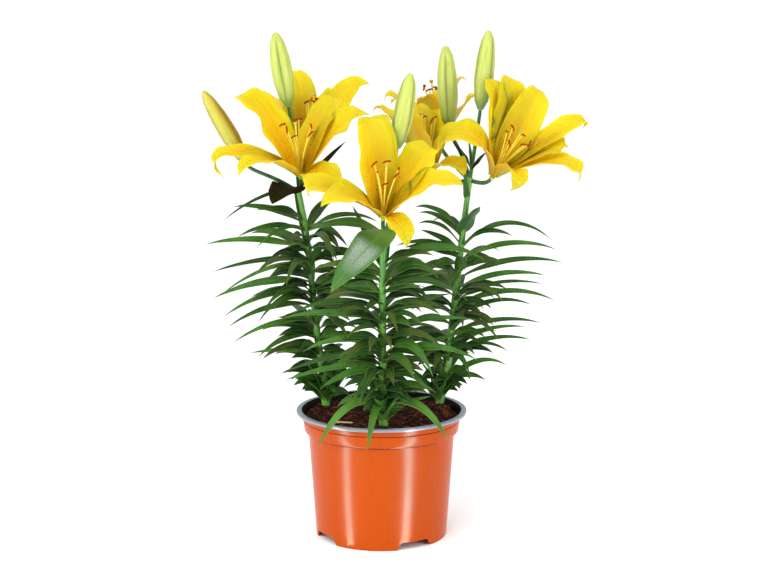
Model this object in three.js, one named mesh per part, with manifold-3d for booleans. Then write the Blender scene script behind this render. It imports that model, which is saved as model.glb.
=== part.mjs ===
// A potted lily: an orange grower's pot of peat, three leafy stems, six open yellow flowers and five buds.
// Millimetres, +Z up, the pot's axis on X = Y = 0 and its feet on Z = 0. The front is on the -Y side.
import * as THREE from "three";
import { mergeVertices } from "three/addons/utils/BufferGeometryUtils.js";
import Module from "manifold-3d";

const wasm = await Module();
wasm.setup();
const { Manifold, Mesh } = wasm;

// Pot
const POT_FLOOR_Z = 10;
const POT_WALL = 1.6;
const POT_SIDES = 34;
const FOOT_RADIUS = 65.3;
const ARCH_COUNT = 4;
const ARCH_FIRST_DEG = -59.5;
const ARCH_HEIGHT = 7.6;
const ARCH_HALF_TOP = 15;
const ARCH_HALF_FOOT = 19.2;
const HUB_RADIUS = 9;
const DRAIN_RADIUS = 5;
const DRAIN_RING = 42;
const DRAIN_COUNT = 5;
const NOTCH = { x: -16, width: 6, height: 1.4 };

// Peat
const SOIL_TOP_Z = 122.6;
const SOIL_CLEAR = 0.6;
const SOIL_BUMP = 1.3;
const STEM_HOLE_CLEAR = 0.35;

// Blades
const LEAF_THICK = 1.0;
const TEPAL_THICK = 1.0;
const LEAF_STATIONS = [0, 0.2, 0.46, 0.76];
const TEPAL_STATIONS = [0, 0.18, 0.4, 0.65, 0.88];
const GOLDEN_DEG = 137.508;
// Leaves that reach sideways turn their upper face to the light at the front by this much, in radians.
const FACE_LIGHT = 0.95;
const LEAF_WIDTHS = [9, 13];
// Leaves of the spiral that reach sideways are shorter by this share.
const SIDE_SHORT = 0.26;
const LEAF_FOLD = 0.22;
const LEAF_TAPER = 2.3;
// Leaves that come towards the front start steeper by this much, in degrees.
const FRONT_RISE = 12;
const GAP = 0.3;

// Distances that leaves keep while they are bent clear
const SAMPLE_STEP = 4;
const CLEAR_OTHER = 3.6;
const CLEAR_OWN = 2.6;
const CLEAR_ROOT = 16;
const CLEAR_CLASP = 32;
const CLEAR_TWIN = 1.6;
const LEAF_TRIES = 26;
const NAMED_TRIES = 16;
// Leaves rooted below this height clasp the stem's foot and may lie against each other.
const CLASP_Z = 131;
const TURN_STEP_DEG = 7;
const SHRINK_AFTER = 12;

const RAD = Math.PI / 180;

// Vectors as plain arrays
const add = (a, b) => [a[0] + b[0], a[1] + b[1], a[2] + b[2]];
const sub = (a, b) => [a[0] - b[0], a[1] - b[1], a[2] - b[2]];
const mul = (a, k) => [a[0] * k, a[1] * k, a[2] * k];
const dot = (a, b) => a[0] * b[0] + a[1] * b[1] + a[2] * b[2];
const cross = (a, b) => [
  a[1] * b[2] - a[2] * b[1],
  a[2] * b[0] - a[0] * b[2],
  a[0] * b[1] - a[1] * b[0],
];
const len = (a) => Math.sqrt(dot(a, a));
const unit = (a) => mul(a, 1 / (len(a) || 1));
const mix = (a, b, t) => a + (b - a) * t;
const clamp01 = (t) => Math.max(0, Math.min(1, t));

// A repeatable draw between 0 and 1 for each seed.
function draw(seed) {
  const s = Math.sin(seed * 12.9898 + 78.233) * 43758.5453;
  return s - Math.floor(s);
}

function bezier(p0, p1, p2, p3) {
  return (s) => {
    const q = 1 - s;
    const k = [q * q * q, 3 * q * q * s, 3 * q * s * s, s * s * s];
    return add(add(mul(p0, k[0]), mul(p1, k[1])), add(mul(p2, k[2]), mul(p3, k[3])));
  };
}

// A smooth path through points, read by height: stems only rise.
function stemPath(points) {
  return (z) => {
    let i = 0;
    while (i < points.length - 2 && z > points[i + 1][2]) i++;
    const a = points[i];
    const b = points[i + 1];
    const t = (z - a[2]) / (b[2] - a[2]);
    return [mix(a[0], b[0], t), mix(a[1], b[1], t), z];
  };
}

// Position, direction, side and upper normal of a blade at s.
function frameAt(blade, s) {
  const e = 0.01;
  const p = blade.curve(s);
  const t = unit(sub(blade.curve(Math.min(1, s + e)), blade.curve(Math.max(0, s - e))));
  let b = unit(sub(blade.side, mul(t, dot(blade.side, t))));
  let n = cross(t, b);
  const roll = (blade.roll || 0) * Math.min(1, s * 2.5);
  if (roll) {
    const c = Math.cos(roll);
    const d = Math.sin(roll);
    const b2 = add(mul(b, c), mul(n, d));
    n = add(mul(n, c), mul(b, -d));
    b = b2;
  }
  return { p, t, b, n };
}

// A point of a blade's middle surface: u runs from -1 to 1 across it.
function bladePoint(blade, s, u) {
  const f = frameAt(blade, s);
  const half = blade.width(s) / 2;
  const lift = blade.lift(s, u, half);
  return add(f.p, add(mul(f.b, u * half), mul(f.n, lift)));
}

// A closed blade from its sections; both faces share the pattern of triangles.
function bladeSolid(blade, stations, across, thick) {
  const v = [];
  const idx = [];
  const inner = across.slice(1, -1);
  const ring = 2 * inner.length + 2;
  for (const s of stations) {
    const f = frameAt(blade, s);
    const t = (thick / 2) * (blade.thin ? blade.thin(s) : 1);
    v.push(bladePoint(blade, s, across[0]));
    for (const u of inner) v.push(add(bladePoint(blade, s, u), mul(f.n, t)));
    v.push(bladePoint(blade, s, across[across.length - 1]));
    for (const u of inner) v.push(add(bladePoint(blade, s, u), mul(f.n, -t)));
  }
  const m = inner.length;
  const top = (k, j) => k * ring + j;
  const low = (k, j) => k * ring + (j === 0 ? 0 : j === m + 1 ? m + 1 : m + 1 + j);
  for (let k = 0; k + 1 < stations.length; k++) {
    for (let j = 0; j <= m; j++) {
      const a = top(k, j);
      const b = top(k, j + 1);
      const c = top(k + 1, j + 1);
      const d = top(k + 1, j);
      const flip = j * 2 < m + 1;
      if (flip) idx.push(a, b, d, b, c, d);
      else idx.push(a, b, c, a, c, d);
      const e = low(k, j);
      const g = low(k, j + 1);
      const h = low(k + 1, j + 1);
      const i = low(k + 1, j);
      if (flip) idx.push(e, i, g, g, i, h);
      else idx.push(e, h, g, e, i, h);
    }
  }
  const tip = v.length;
  v.push(blade.curve(1));
  const last = stations.length - 1;
  for (let j = 0; j <= m; j++) {
    idx.push(top(last, j), top(last, j + 1), tip);
    idx.push(low(last, j + 1), low(last, j), tip);
  }
  for (let j = 0; j <= m; j++) {
    if (j > 0) idx.push(top(0, 0), top(0, j + 1), top(0, j));
    if (j > 0 && j < m) idx.push(top(0, 0), low(0, j), low(0, j + 1));
  }
  idx.push(top(0, 0), low(0, m), top(0, m + 1));
  return solidFrom(v, idx);
}

function solidFrom(points, idx) {
  const flat = new Float32Array(points.length * 3);
  points.forEach((p, i) => flat.set(p, i * 3));
  let made = new Manifold(
    new Mesh({ numProp: 3, vertProperties: flat, triVerts: new Uint32Array(idx) }),
  );
  if (made.volume() < 0) {
    const back = idx.slice();
    for (let i = 0; i < back.length; i += 3) [back[i + 1], back[i + 2]] = [back[i + 2], back[i + 1]];
    made = new Manifold(
      new Mesh({ numProp: 3, vertProperties: flat, triVerts: new Uint32Array(back) }),
    );
  }
  return made;
}

// A closed round tube along points with a radius at each; it ends in flat or pointed caps.
function rodSolid(points, radii, sides, endWay) {
  const v = [];
  const idx = [];
  let ref = [1, 0, 0];
  points.forEach((p, k) => {
    const chord = sub(points[Math.min(points.length - 1, k + 1)], points[Math.max(0, k - 1)]);
    const t = k === points.length - 1 && endWay ? endWay : unit(chord);
    const a = unit(sub(ref, mul(t, dot(ref, t))));
    ref = a;
    const b = cross(t, a);
    for (let i = 0; i < sides; i++) {
      const w = (i / sides) * 2 * Math.PI;
      v.push(add(p, add(mul(a, radii[k] * Math.cos(w)), mul(b, radii[k] * Math.sin(w)))));
    }
  });
  for (let k = 0; k + 1 < points.length; k++) {
    for (let i = 0; i < sides; i++) {
      const j = (i + 1) % sides;
      const a = k * sides + i;
      const b = k * sides + j;
      idx.push(a, b, b + sides, a, b + sides, a + sides);
    }
  }
  for (let i = 1; i + 1 < sides; i++) {
    idx.push(0, i + 1, i);
    const o = (points.length - 1) * sides;
    idx.push(o, o + i, o + i + 1);
  }
  return solidFrom(v, idx);
}

function solidOf(geometry) {
  const g = geometry.clone();
  g.deleteAttribute("normal");
  g.deleteAttribute("uv");
  const merged = mergeVertices(g, 1e-4);
  return new Manifold(
    new Mesh({
      numProp: 3,
      vertProperties: new Float32Array(merged.attributes.position.array),
      triVerts: new Uint32Array(merged.index.array),
    }),
  );
}

function lathe(profile, sides) {
  const g = new THREE.LatheGeometry(
    profile.map(([r, z]) => new THREE.Vector2(r, z)),
    sides,
  );
  g.rotateX(Math.PI / 2);
  return solidOf(g);
}

function cylinder(radius, z0, z1, sides, x = 0, y = 0) {
  const g = new THREE.CylinderGeometry(radius, radius, z1 - z0, sides);
  g.rotateX(Math.PI / 2);
  g.translate(x, y, (z0 + z1) / 2);
  return solidOf(g);
}

function joined(solids) {
  return Manifold.union(solids);
}

// The largest shell of a mesh: hollows that fusing sealed are filled and loose scraps dropped.
function largestShell(points, tris) {
  const lead = Array.from({ length: points.length / 3 }, (_, i) => i);
  const find = (i) => {
    while (lead[i] !== i) {
      lead[i] = lead[lead[i]];
      i = lead[i];
    }
    return i;
  };
  for (let i = 0; i < tris.length; i += 3) {
    lead[find(tris[i])] = find(tris[i + 1]);
    lead[find(tris[i + 1])] = find(tris[i + 2]);
  }
  const volume = new Map();
  const at = (i) => [points[3 * i], points[3 * i + 1], points[3 * i + 2]];
  for (let i = 0; i < tris.length; i += 3) {
    const part = dot(at(tris[i]), cross(at(tris[i + 1]), at(tris[i + 2])));
    const k = find(tris[i]);
    volume.set(k, (volume.get(k) || 0) + part);
  }
  const best = [...volume].sort((a, b) => b[1] - a[1])[0][0];
  const kept = [];
  for (let i = 0; i < tris.length; i += 3)
    if (find(tris[i]) === best) kept.push(tris[i], tris[i + 1], tris[i + 2]);
  return kept;
}

const group = new THREE.Group();
function addNode(name, solid, color, roughness, metalness = 0) {
  const m = solid.getMesh();
  const v = new Float32Array(m.numVert * 3);
  for (let i = 0; i < m.numVert; i++)
    v.set(m.vertProperties.subarray(i * m.numProp, i * m.numProp + 3), i * 3);
  const g = new THREE.BufferGeometry();
  g.setAttribute("position", new THREE.BufferAttribute(v, 3));
  g.setIndex(largestShell(v, m.triVerts));
  g.computeVertexNormals();
  const mesh = new THREE.Mesh(g, new THREE.MeshStandardMaterial({ color, roughness, metalness }));
  mesh.name = name;
  group.add(mesh);
}

// The pot's wall: feet, straight tapering body, stepped collar with a groove, and a flat lip.
const POT_OUTER = [
  [FOOT_RADIUS, 0],
  [72.9, 105.4],
  [75.6, 106.4],
  [77, 107.6],
  [78.4, 118],
  [77.9, 118.4],
  [78.7, 118.9],
  [79.3, 123.8],
  [85, 124.8],
  [84.8, 127.4],
  [79.6, 127.6],
];
function wallRadius(z) {
  return mix(FOOT_RADIUS, 72.9, z / 105.4);
}

function potSolid() {
  const inner = [
    [76.8, 118],
    [75.4, 108],
    [71.2, 106],
    [wallRadius(POT_FLOOR_Z + 2) - POT_WALL, POT_FLOOR_Z + 2],
    [0, POT_FLOOR_Z + 2],
  ];
  const under = [
    [0, 0],
    [HUB_RADIUS, 0],
    [HUB_RADIUS, POT_FLOOR_Z],
    [wallRadius(POT_FLOOR_Z) - POT_WALL, POT_FLOOR_Z],
    [FOOT_RADIUS - POT_WALL, 0],
  ];
  const pot = lathe([...under, ...POT_OUTER, ...inner], POT_SIDES);
  const cuts = [];
  for (let i = 0; i < ARCH_COUNT; i++) {
    const a = (ARCH_FIRST_DEG + (i * 360) / ARCH_COUNT) * RAD;
    const shape = new THREE.Shape();
    shape.moveTo(-ARCH_HALF_FOOT - 1, -1);
    shape.lineTo(ARCH_HALF_FOOT + 1, -1);
    shape.lineTo(ARCH_HALF_TOP, ARCH_HEIGHT);
    shape.lineTo(-ARCH_HALF_TOP, ARCH_HEIGHT);
    shape.closePath();
    const g = new THREE.ExtrudeGeometry(shape, { depth: 16, bevelEnabled: false });
    g.rotateX(Math.PI / 2);
    g.translate(0, -FOOT_RADIUS + 8 + 0.5, 0);
    g.rotateZ(a);
    cuts.push(solidOf(g));
  }
  for (let i = 0; i < DRAIN_COUNT; i++) {
    const a = ((i + 0.5) / DRAIN_COUNT) * 2 * Math.PI;
    const x = DRAIN_RING * Math.cos(a);
    const y = DRAIN_RING * Math.sin(a);
    cuts.push(cylinder(DRAIN_RADIUS, POT_FLOOR_Z - 1, POT_FLOOR_Z + 3, 10, x, y));
  }
  const notch = new THREE.BoxGeometry(NOTCH.width, 12, NOTCH.height * 2);
  notch.translate(NOTCH.x, -FOOT_RADIUS + 3, 0);
  cuts.push(solidOf(notch));
  return pot.subtract(joined(cuts));
}

// The peat's top: low mounds, a little higher round each stem.
function soilHeight(x, y, stems) {
  let z = SOIL_TOP_Z;
  z += SOIL_BUMP * 0.5 * (Math.sin(x * 0.21 + 1.3) + Math.sin(y * 0.26 - x * 0.08));
  z += SOIL_BUMP * 0.5 * Math.sin(x * 0.47 + y * 0.39);
  for (const s of stems) {
    const d = Math.hypot(x - s[0], y - s[1]);
    z += 1.6 * Math.exp(-(d * d) / 220);
  }
  return z;
}

function soilSolid(stems) {
  const rings = [0, 16, 34, 52, 67];
  const sides = 20;
  const v = [];
  const idx = [];
  const edge = 76.2;
  const all = [...rings.slice(1), edge];
  v.push([0, 0, soilHeight(0, 0, stems)]);
  for (const r of all) {
    for (let i = 0; i < sides; i++) {
      const a = (i / sides) * 2 * Math.PI;
      const x = r * Math.cos(a);
      const y = r * Math.sin(a);
      const rim = r === edge ? -1.2 : 0;
      v.push([x, y, soilHeight(x, y, stems) + rim]);
    }
  }
  const wall = [
    [74.6, 109.2],
    [70.2, 106.2],
    [wallRadius(POT_FLOOR_Z + 2) - POT_WALL - SOIL_CLEAR, POT_FLOOR_Z + 2 + GAP],
  ];
  for (const [r, z] of wall) {
    for (let i = 0; i < sides; i++) {
      const a = (i / sides) * 2 * Math.PI;
      v.push([r * Math.cos(a), r * Math.sin(a), z]);
    }
  }
  for (let i = 0; i < sides; i++) idx.push(0, 1 + i, 1 + ((i + 1) % sides));
  const rows = all.length + wall.length;
  for (let k = 0; k + 1 < rows; k++) {
    for (let i = 0; i < sides; i++) {
      const j = (i + 1) % sides;
      const a = 1 + k * sides + i;
      const b = 1 + k * sides + j;
      idx.push(a, a + sides, b, b, a + sides, b + sides);
    }
  }
  const bottom = v.length;
  v.push([0, 0, POT_FLOOR_Z + 2 + GAP]);
  const o = 1 + (rows - 1) * sides;
  for (let i = 0; i < sides; i++) idx.push(bottom, o + ((i + 1) % sides), o + i);
  return solidFrom(v, idx);
}

// Plants: the path of each stem, its leaves' heights, and the leaves that the eye picks out.
const PLANTS = [
  {
    name: "plant_left",
    stem: [[-54, 27, 100], [-56, 28, 124], [-64, 28, 192], [-71, 26, 262], [-75, 23, 308], [-82, 18, 347]],
    radius: [4.2, 2.4],
    leaves: { count: 18, low: 131, high: 312, start: 20, seed: 11 },
    named: [
      { z: 345, tip: [-155, -10, 318], rise: 12, width: 4.5 },
      { z: 346, tip: [-105, -30, 339], rise: 10, width: 31, broad: true },
      { z: 345, tip: [-35, 22, 393], rise: 2, width: 8 },
      { z: 286, tip: [-88, 44, 346], rise: 2, width: 8 },
      { z: 309, tip: [-146, 12, 329], rise: 11, width: 9 },
      { z: 302, tip: [-141, -8, 302], rise: 13, width: 8 },
      { z: 284, tip: [-174, 10, 292], rise: 11, width: 9 },
      { z: 305, tip: [-122, -14, 292], rise: 14, width: 6 },
      { z: 274, tip: [-166, -5, 267], rise: 8, width: 7 },
      { z: 270, tip: [-160, 30, 238], rise: 14, width: 6 },
      { z: 251, tip: [-167, 8, 238], rise: 12, width: 10 },
      { z: 240, tip: [-156, -6, 222], rise: 15, width: 8 },
      { z: 236, tip: [-122, -22, 217], rise: 20, width: 7 },
      { z: 226, tip: [-154, 14, 207], rise: 15, width: 8 },
      { z: 210, tip: [-148, 0, 194], rise: 14, width: 7 },
      { z: 194, tip: [-122, -10, 182], rise: 15, width: 9 },
      { z: 181, tip: [-132, 25, 179], rise: 3, width: 7 },
      { z: 302, tip: [-3, 10, 314], rise: 18, width: 7 },
      { z: 306, tip: [-33, -5, 292], rise: 14, width: 9 },
      { z: 125, tip: [-78, 8, 178], rise: 5, width: 10, foot: [0, 0, 15] },
      { z: 124, tip: [-38, 6, 172], rise: 6, width: 10, foot: [0, 0, 17] },
      { z: 126, tip: [-90, 28, 166], rise: 5, width: 9, foot: [0, 0, 14] },
      { z: 124, tip: [-55, 8, 170], rise: 4, width: 9, foot: [0, 0, 17] },
    ],
  },
  {
    name: "plant_middle",
    stem: [[2, -55, 100], [2, -56, 124], [1, -54, 200], [1, -52, 268], [3, -50, 317]],
    radius: [4.4, 3],
    leaves: { count: 17, low: 132, high: 292, start: 75, seed: 29 },
    named: [
      { z: 316, tip: [-47, -100, 265], rise: 8, width: 27, broad: true, foot: [-1, -20, 1], roll: -0.6 },
      { z: 272, tip: [9, -46, 322], rise: 1, width: 8 },
      { z: 311, tip: [-72, -40, 312], rise: 16, width: 12 },
      { z: 277, tip: [-28, -20, 335], rise: 3, width: 9 },
      { z: 226, tip: [-94, -50, 230], rise: 11, width: 9 },
      { z: 237, tip: [-84, -78, 240], rise: 16, width: 8 },
      { z: 249, tip: [-37, -45, 268], rise: 3, width: 7 },
      { z: 202, tip: [-76, -62, 199], rise: 15, width: 9 },
      { z: 194, tip: [-44, -88, 193], rise: 8, width: 7 },
      { z: 196, tip: [-95, -42, 174], rise: 9, width: 8 },
      { z: 187, tip: [-93, -70, 173], rise: 6, width: 8 },
      { z: 181, tip: [-58, -90, 171], rise: 9, width: 10 },
      { z: 164, tip: [-28, -88, 156], rise: 13, width: 8 },
      { z: 138, tip: [-60, -96, 114], rise: 34, width: 8.5, taper: 4.5 },
      { z: 277, tip: [100, -42, 285], rise: 25, width: 11 },
      { z: 258, tip: [54, -75, 274], rise: 26, width: 14 },
      { z: 255, tip: [81, -95, 256], rise: 22, width: 9 },
      { z: 231, tip: [69, -40, 252], rise: 6, width: 7 },
      { z: 223, tip: [40, -90, 229], rise: 19, width: 9 },
      { z: 218, tip: [92, -66, 231], rise: 10, width: 7 },
      { z: 191, tip: [86, -45, 217], rise: 2, width: 7 },
      { z: 188, tip: [92, -72, 193], rise: 20, width: 10 },
      { z: 186, tip: [49, -102, 184], rise: 36, width: 13 },
      { z: 165, tip: [46, -92, 166], rise: 21, width: 9 },
      { z: 138, tip: [30, -62, 170], rise: -1, width: 9 },
      { z: 137, tip: [47, -82, 160], rise: 3, width: 8 },
      { z: 137, tip: [63, -92, 123], rise: 31, width: 8.5, taper: 4.5 },
      { z: 136, tip: [-13, -101, 112], rise: 29, width: 8, taper: 4.5 },
      { z: 125, tip: [-20, -72, 168], rise: 6, width: 10, foot: [0, 0, 15] },
      { z: 125, tip: [22, -76, 162], rise: 6, width: 10, foot: [0, 0, 15] },
      { z: 126, tip: [-6, -86, 158], rise: 8, width: 10, foot: [0, 0, 14] },
    ],
  },
  {
    name: "plant_right",
    stem: [[53, 31, 100], [59, 35, 124], [67, 35, 167], [75, 34, 242], [82, 32, 308], [88, 30, 356]],
    radius: [4.4, 2.8],
    leaves: { count: 16, low: 132, high: 296, start: 200, seed: 47 },
    named: [
      { z: 300, tip: [97, 8, 330], rise: 5, width: 16, broad: true },
      { z: 283, tip: [169, 25, 294], rise: 31, width: 6.8 },
      { z: 270, tip: [173, 8, 287], rise: 18, width: 7.8 },
      { z: 252, tip: [182, 36, 269], rise: 16, width: 7.8 },
      { z: 242, tip: [163, 14, 260], rise: 13, width: 7.8 },
      { z: 234, tip: [159, -6, 255], rise: 12, width: 5.8 },
      { z: 230, tip: [123, -12, 250], rise: 8, width: 6.8 },
      { z: 221, tip: [175, 36, 230], rise: 21, width: 7.8 },
      { z: 209, tip: [150, 14, 230], rise: 18, width: 6.8 },
      { z: 196, tip: [161, 32, 208], rise: 13, width: 6.8 },
      { z: 185, tip: [143, 4, 210], rise: 10, width: 6.8 },
      { z: 174, tip: [151, 30, 191], rise: 14, width: 6.8 },
      { z: 173, tip: [126, 0, 186], rise: 16, width: 6.8 },
      { z: 171, tip: [88, -6, 163], rise: 16, width: 9 },
      { z: 140, tip: [126, 20, 167], rise: 22, width: 7.8 },
      { z: 299, tip: [33, 18, 328], rise: 14, width: 8 },
      { z: 294, tip: [37, 46, 318], rise: 13, width: 7 },
      { z: 287, tip: [36, 8, 313], rise: 14, width: 7 },
      { z: 281, tip: [39, 38, 302], rise: 5, width: 8 },
      { z: 133, tip: [26, 12, 141], rise: 10, width: 8 },
      { z: 125, tip: [38, 18, 174], rise: 5, width: 10, foot: [0, 0, 15] },
      { z: 124, tip: [90, 16, 168], rise: 6, width: 10, foot: [0, 0, 17] },
      { z: 126, tip: [72, 4, 164], rise: 6, width: 10, foot: [0, 0, 14] },
      { z: 124, tip: [60, 12, 172], rise: 4, width: 9, foot: [0, 0, 17] },
    ],
  },
];

// Buds: the pedicel's foot on the stem, the bud's base and tip, and its greatest width.
const BUDS = [
  { name: "bud_left_low", plant: "plant_left", base: [-131, -2, 373], tip: [-172, -10, 445], width: 18,
    via: [-103, 10, 361] },
  { name: "bud_left_high", plant: "plant_left", base: [-90, -2, 429], tip: [-102, -6, 501], width: 21,
    via: [-84, 8, 385] },
  { name: "bud_middle", plant: "plant_middle", base: [15, -38, 393], tip: [28, -34, 464], width: 20,
    via: [13, -40, 342], from: 306 },
  { name: "bud_right_low", plant: "plant_right", base: [68, 60, 402], tip: [64, 60, 484], width: 21,
    via: [84, 54, 378] },
  { name: "bud_right_high", plant: "plant_right", base: [98, 42, 422], tip: [106, 42, 500], width: 20,
    via: [92, 36, 380] },
];

// Open flowers: receptacle, axis, and each petal's tip from the receptacle, with its width and end curl.
// A petal that arches high before its tip has an arch above 1, and a twisted one has a turn in radians.
// A flower whose throat is narrow has a lean below 1.
const BLOOMS = [
  { name: "left_front", plant: "plant_left", base: [-79, -5, 364], axis: [-0.05, -0.5, 0.86],
    petals: [
      { tip: [-62, -15, 76], width: 47, curl: 38 },
      { tip: [68, -12, 59], width: 38, curl: 40 },
      { tip: [40, 22, 70], width: 32, curl: 60 },
      { tip: [-72, -21, -1], width: 25, curl: 125, arch: 2.1 },
      { tip: [-56, -51, 5], width: 31, curl: 75, arch: 1.15 },
      { tip: [32, -35, -13], width: 34, curl: 120, arch: 1.35 },
    ] },
  { name: "left_back", plant: "plant_left", base: [-73, 45, 376], axis: [0.1, 0.05, 1], spread: 0.5,
    petals: [
      { tip: [-22, 31, 77], width: 35, curl: 25, turn: -1 },
      { tip: [-47, 8, 56], width: 24, curl: 80 },
      { tip: [61, 12, 70], width: 28, curl: 20, turn: 0.9 },
      { tip: [36, -22, 46], width: 26, curl: 60 },
      { tip: [-15, 42, 58], width: 30, curl: 60 },
      { tip: [28, 44, 56], width: 28, curl: 60 },
    ] },
  { name: "middle_front", plant: "plant_middle", base: [2, -52, 330], axis: [0.05, -0.5, 0.86],
    petals: [
      { tip: [-22, -8, 95], width: 40, curl: 38 },
      { tip: [-68, -24, 21], width: 30, curl: 125, arch: 1.55 },
      { tip: [-58, -50, 16], width: 30, curl: 60 },
      { tip: [49, 12, 60], width: 40, curl: 70, arch: 1.1 },
      { tip: [75, -30, 33], width: 36, curl: 45 },
      { tip: [22, -48, -22], width: 25, curl: 95 },
      { tip: [-6, 24, 93], width: 30, curl: 50 },
    ] },
  { name: "right_front", plant: "plant_right", base: [110, 16, 360], axis: [0.42, -0.5, 0.76], lean: 0.6,
    petals: [
      { tip: [-10, 12, 93], width: 34, curl: 55 },
      { tip: [11, 24, 97], width: 40, curl: 35 },
      { tip: [43, 18, 83], width: 36, curl: 50 },
      { tip: [88, 0, 47], width: 23, curl: 85, arch: 1.1 },
      { tip: [66, -15, 30], width: 30, curl: 110 },
      { tip: [81, -28, -3], width: 32, curl: 85, arch: 1.3 },
      { tip: [15, -45, -9], width: 24, curl: 110, arch: 2.1 },
      { tip: [-56, -24, 24], width: 34, curl: 110, arch: 2.2 },
    ] },
  { name: "back_low", plant: "plant_right", base: [49, 55, 358], axis: [-0.15, -0.1, 0.97],
    petals: [
      { tip: [-58, 0, 60], width: 27, curl: 60 },
      { tip: [-28, -30, 56], width: 34, curl: 70 },
      { tip: [39, -32, 52], width: 24, curl: 20 },
      { tip: [32, -42, 2], width: 24, curl: 110 },
      { tip: [-14, 26, 62], width: 30, curl: 50 },
      { tip: [8, 27, 57], width: 26, curl: 60 },
    ] },
  { name: "back_high", plant: "plant_right", base: [60, 104, 385], axis: [-0.15, 0.05, 0.98], spread: 0.7,
    petals: [
      { tip: [27, 10, 60], width: 27, curl: 60 },
      { tip: [40, -8, 42], width: 20, curl: 80 },
      { tip: [-57, 0, 40], width: 24, curl: 80 },
      { tip: [-50, 30, 34], width: 26, curl: 60 },
      { tip: [8, 34, 46], width: 28, curl: 60 },
      { tip: [-18, -22, 44], width: 28, curl: 50 },
    ] },
];

const LEAF_GREEN = 0x33602c;
const PETAL_YELLOW = 0xf0c814;

// Width of a leaf: it clasps the stem, widens by a third of its length and runs to a fine tip.
function leafWidth(w, broad, taper) {
  return (s) => {
    const q = Math.pow(s, 0.64);
    if (broad) return w * Math.pow(clamp01(4 * q * (1 - q)), 0.85) + 9 * (1 - s);
    return w * Math.min(1, 0.42 + 1.9 * s) * (1 - Math.pow(s, taper));
  };
}

function leafBlade(curve, side, width, broad, roll, fold, taper = LEAF_TAPER) {
  return {
    curve,
    side,
    roll,
    width: leafWidth(width, broad, taper),
    lift: (s, u, half) => fold * half * Math.abs(u) * (1 - 0.5 * s),
  };
}

// A leaf given by its tip: it rises from the stem, arches over and comes down on the tip.
// A foot gives the way it leaves the stem, and a roll turns its face, in radians.
function namedLeaf(plant, spec, depth) {
  const p0 = plant.path(spec.z);
  const tip = add(spec.tip, [0, depth, 0]);
  const way = sub(tip, p0);
  const flat = unit([way[0], way[1], 0]);
  const p1 = add(p0, spec.foot || add(mul(way, 0.28), [0, 0, spec.rise]));
  const p2 = add(add(p0, mul(way, 0.72)), [0, 0, spec.rise * 0.9]);
  const curve = bezier(p0, p1, p2, tip);
  const roll = spec.roll || (spec.broad ? 0.3 : FACE_LIGHT) * flat[0];
  const fold = spec.broad ? 0.12 : LEAF_FOLD;
  const side = cross([0, 0, 1], flat);
  return leafBlade(curve, side, spec.width, spec.broad, roll, fold, spec.taper);
}

// How far a named leaf's tip is moved back or forward by the try's number, to pass others.
function tipDepth(attempt) {
  return (attempt % 2 ? 6 : -6) * Math.ceil(attempt / 2);
}

// How long a leaf is at each height: short at the foot, longest above the middle, then shorter again.
function leafLength(t) {
  if (t < 0.4) return mix(54, 110, Math.pow(t / 0.4, 0.75));
  return t < 0.75 ? 110 : mix(110, 84, (t - 0.75) / 0.25);
}

// A leaf of the spiral, turned, raised and shortened by the try's number.
function spiralLeaf(plant, i, attempt) {
  const set = plant.leaves;
  const t = i / (set.count - 1);
  const seed = set.seed * 100 + i * 7;
  const sign = attempt % 2 ? 1 : -1;
  const turn = sign * Math.ceil(attempt / 2) * TURN_STEP_DEG;
  const azimuth = (set.start + i * GOLDEN_DEG + (draw(seed) - 0.5) * 24 + turn) * RAD;
  const shrink = attempt > SHRINK_AFTER ? 0.8 : 1;
  const sideways = 1 - SIDE_SHORT * Math.cos(azimuth) * Math.cos(azimuth);
  const length = leafLength(t) * mix(0.72, 1.05, draw(seed + 1)) * shrink * sideways;
  const width = mix(LEAF_WIDTHS[0], LEAF_WIDTHS[1], draw(seed + 2));
  const toward = Math.max(0, -Math.sin(azimuth));
  const rise = (t < 0.25 ? mix(60, 46, t / 0.25) : mix(46, 42, t)) + FRONT_RISE * toward;
  const start = (rise + (draw(seed + 3) - 0.5) * 24 + (attempt % 3) * 4) * RAD;
  const end = (mix(-34, -24, t) + (draw(seed + 4) - 0.5) * 36 - (attempt % 4) * 5) * RAD;
  const swing = (draw(seed + 5) - 0.5) * 0.5;
  const p0 = plant.path(mix(set.low, set.high, t));
  const points = [p0];
  const parts = 24;
  for (let k = 0; k < parts; k++) {
    const s = (k + 0.5) / parts;
    const e = mix(start, end, Math.pow(s, 0.9));
    const a = azimuth + swing * s * s;
    const d = [Math.cos(a) * Math.cos(e), Math.sin(a) * Math.cos(e), Math.sin(e)];
    points.push(add(points[k], mul(d, length / parts)));
  }
  const curve = (s) => {
    const x = clamp01(s) * parts;
    const k = Math.min(parts - 1, Math.floor(x));
    const a = points[k];
    const b = points[k + 1];
    return [mix(a[0], b[0], x - k), mix(a[1], b[1], x - k), mix(a[2], b[2], x - k)];
  };
  const side = [-Math.sin(azimuth), Math.cos(azimuth), 0];
  const roll = FACE_LIGHT * Math.cos(azimuth) + (draw(seed + 6) - 0.5) * 0.7;
  const blade = leafBlade(curve, side, width, false, roll, LEAF_FOLD);
  blade.length = length;
  return blade;
}

// Points all over a blade, closer together than two blades can cross unseen.
function bladeSamples(blade, length, skip) {
  const n = Math.max(6, Math.ceil(length / SAMPLE_STEP));
  const out = [];
  for (let k = 0; k <= n; k++) {
    const s = k / n;
    if (s * length < skip) continue;
    const across = Math.max(1, Math.ceil(blade.width(s) / SAMPLE_STEP / 2));
    for (let j = -across; j <= across; j++) out.push(bladePoint(blade, s, j / across));
  }
  return out;
}

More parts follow.
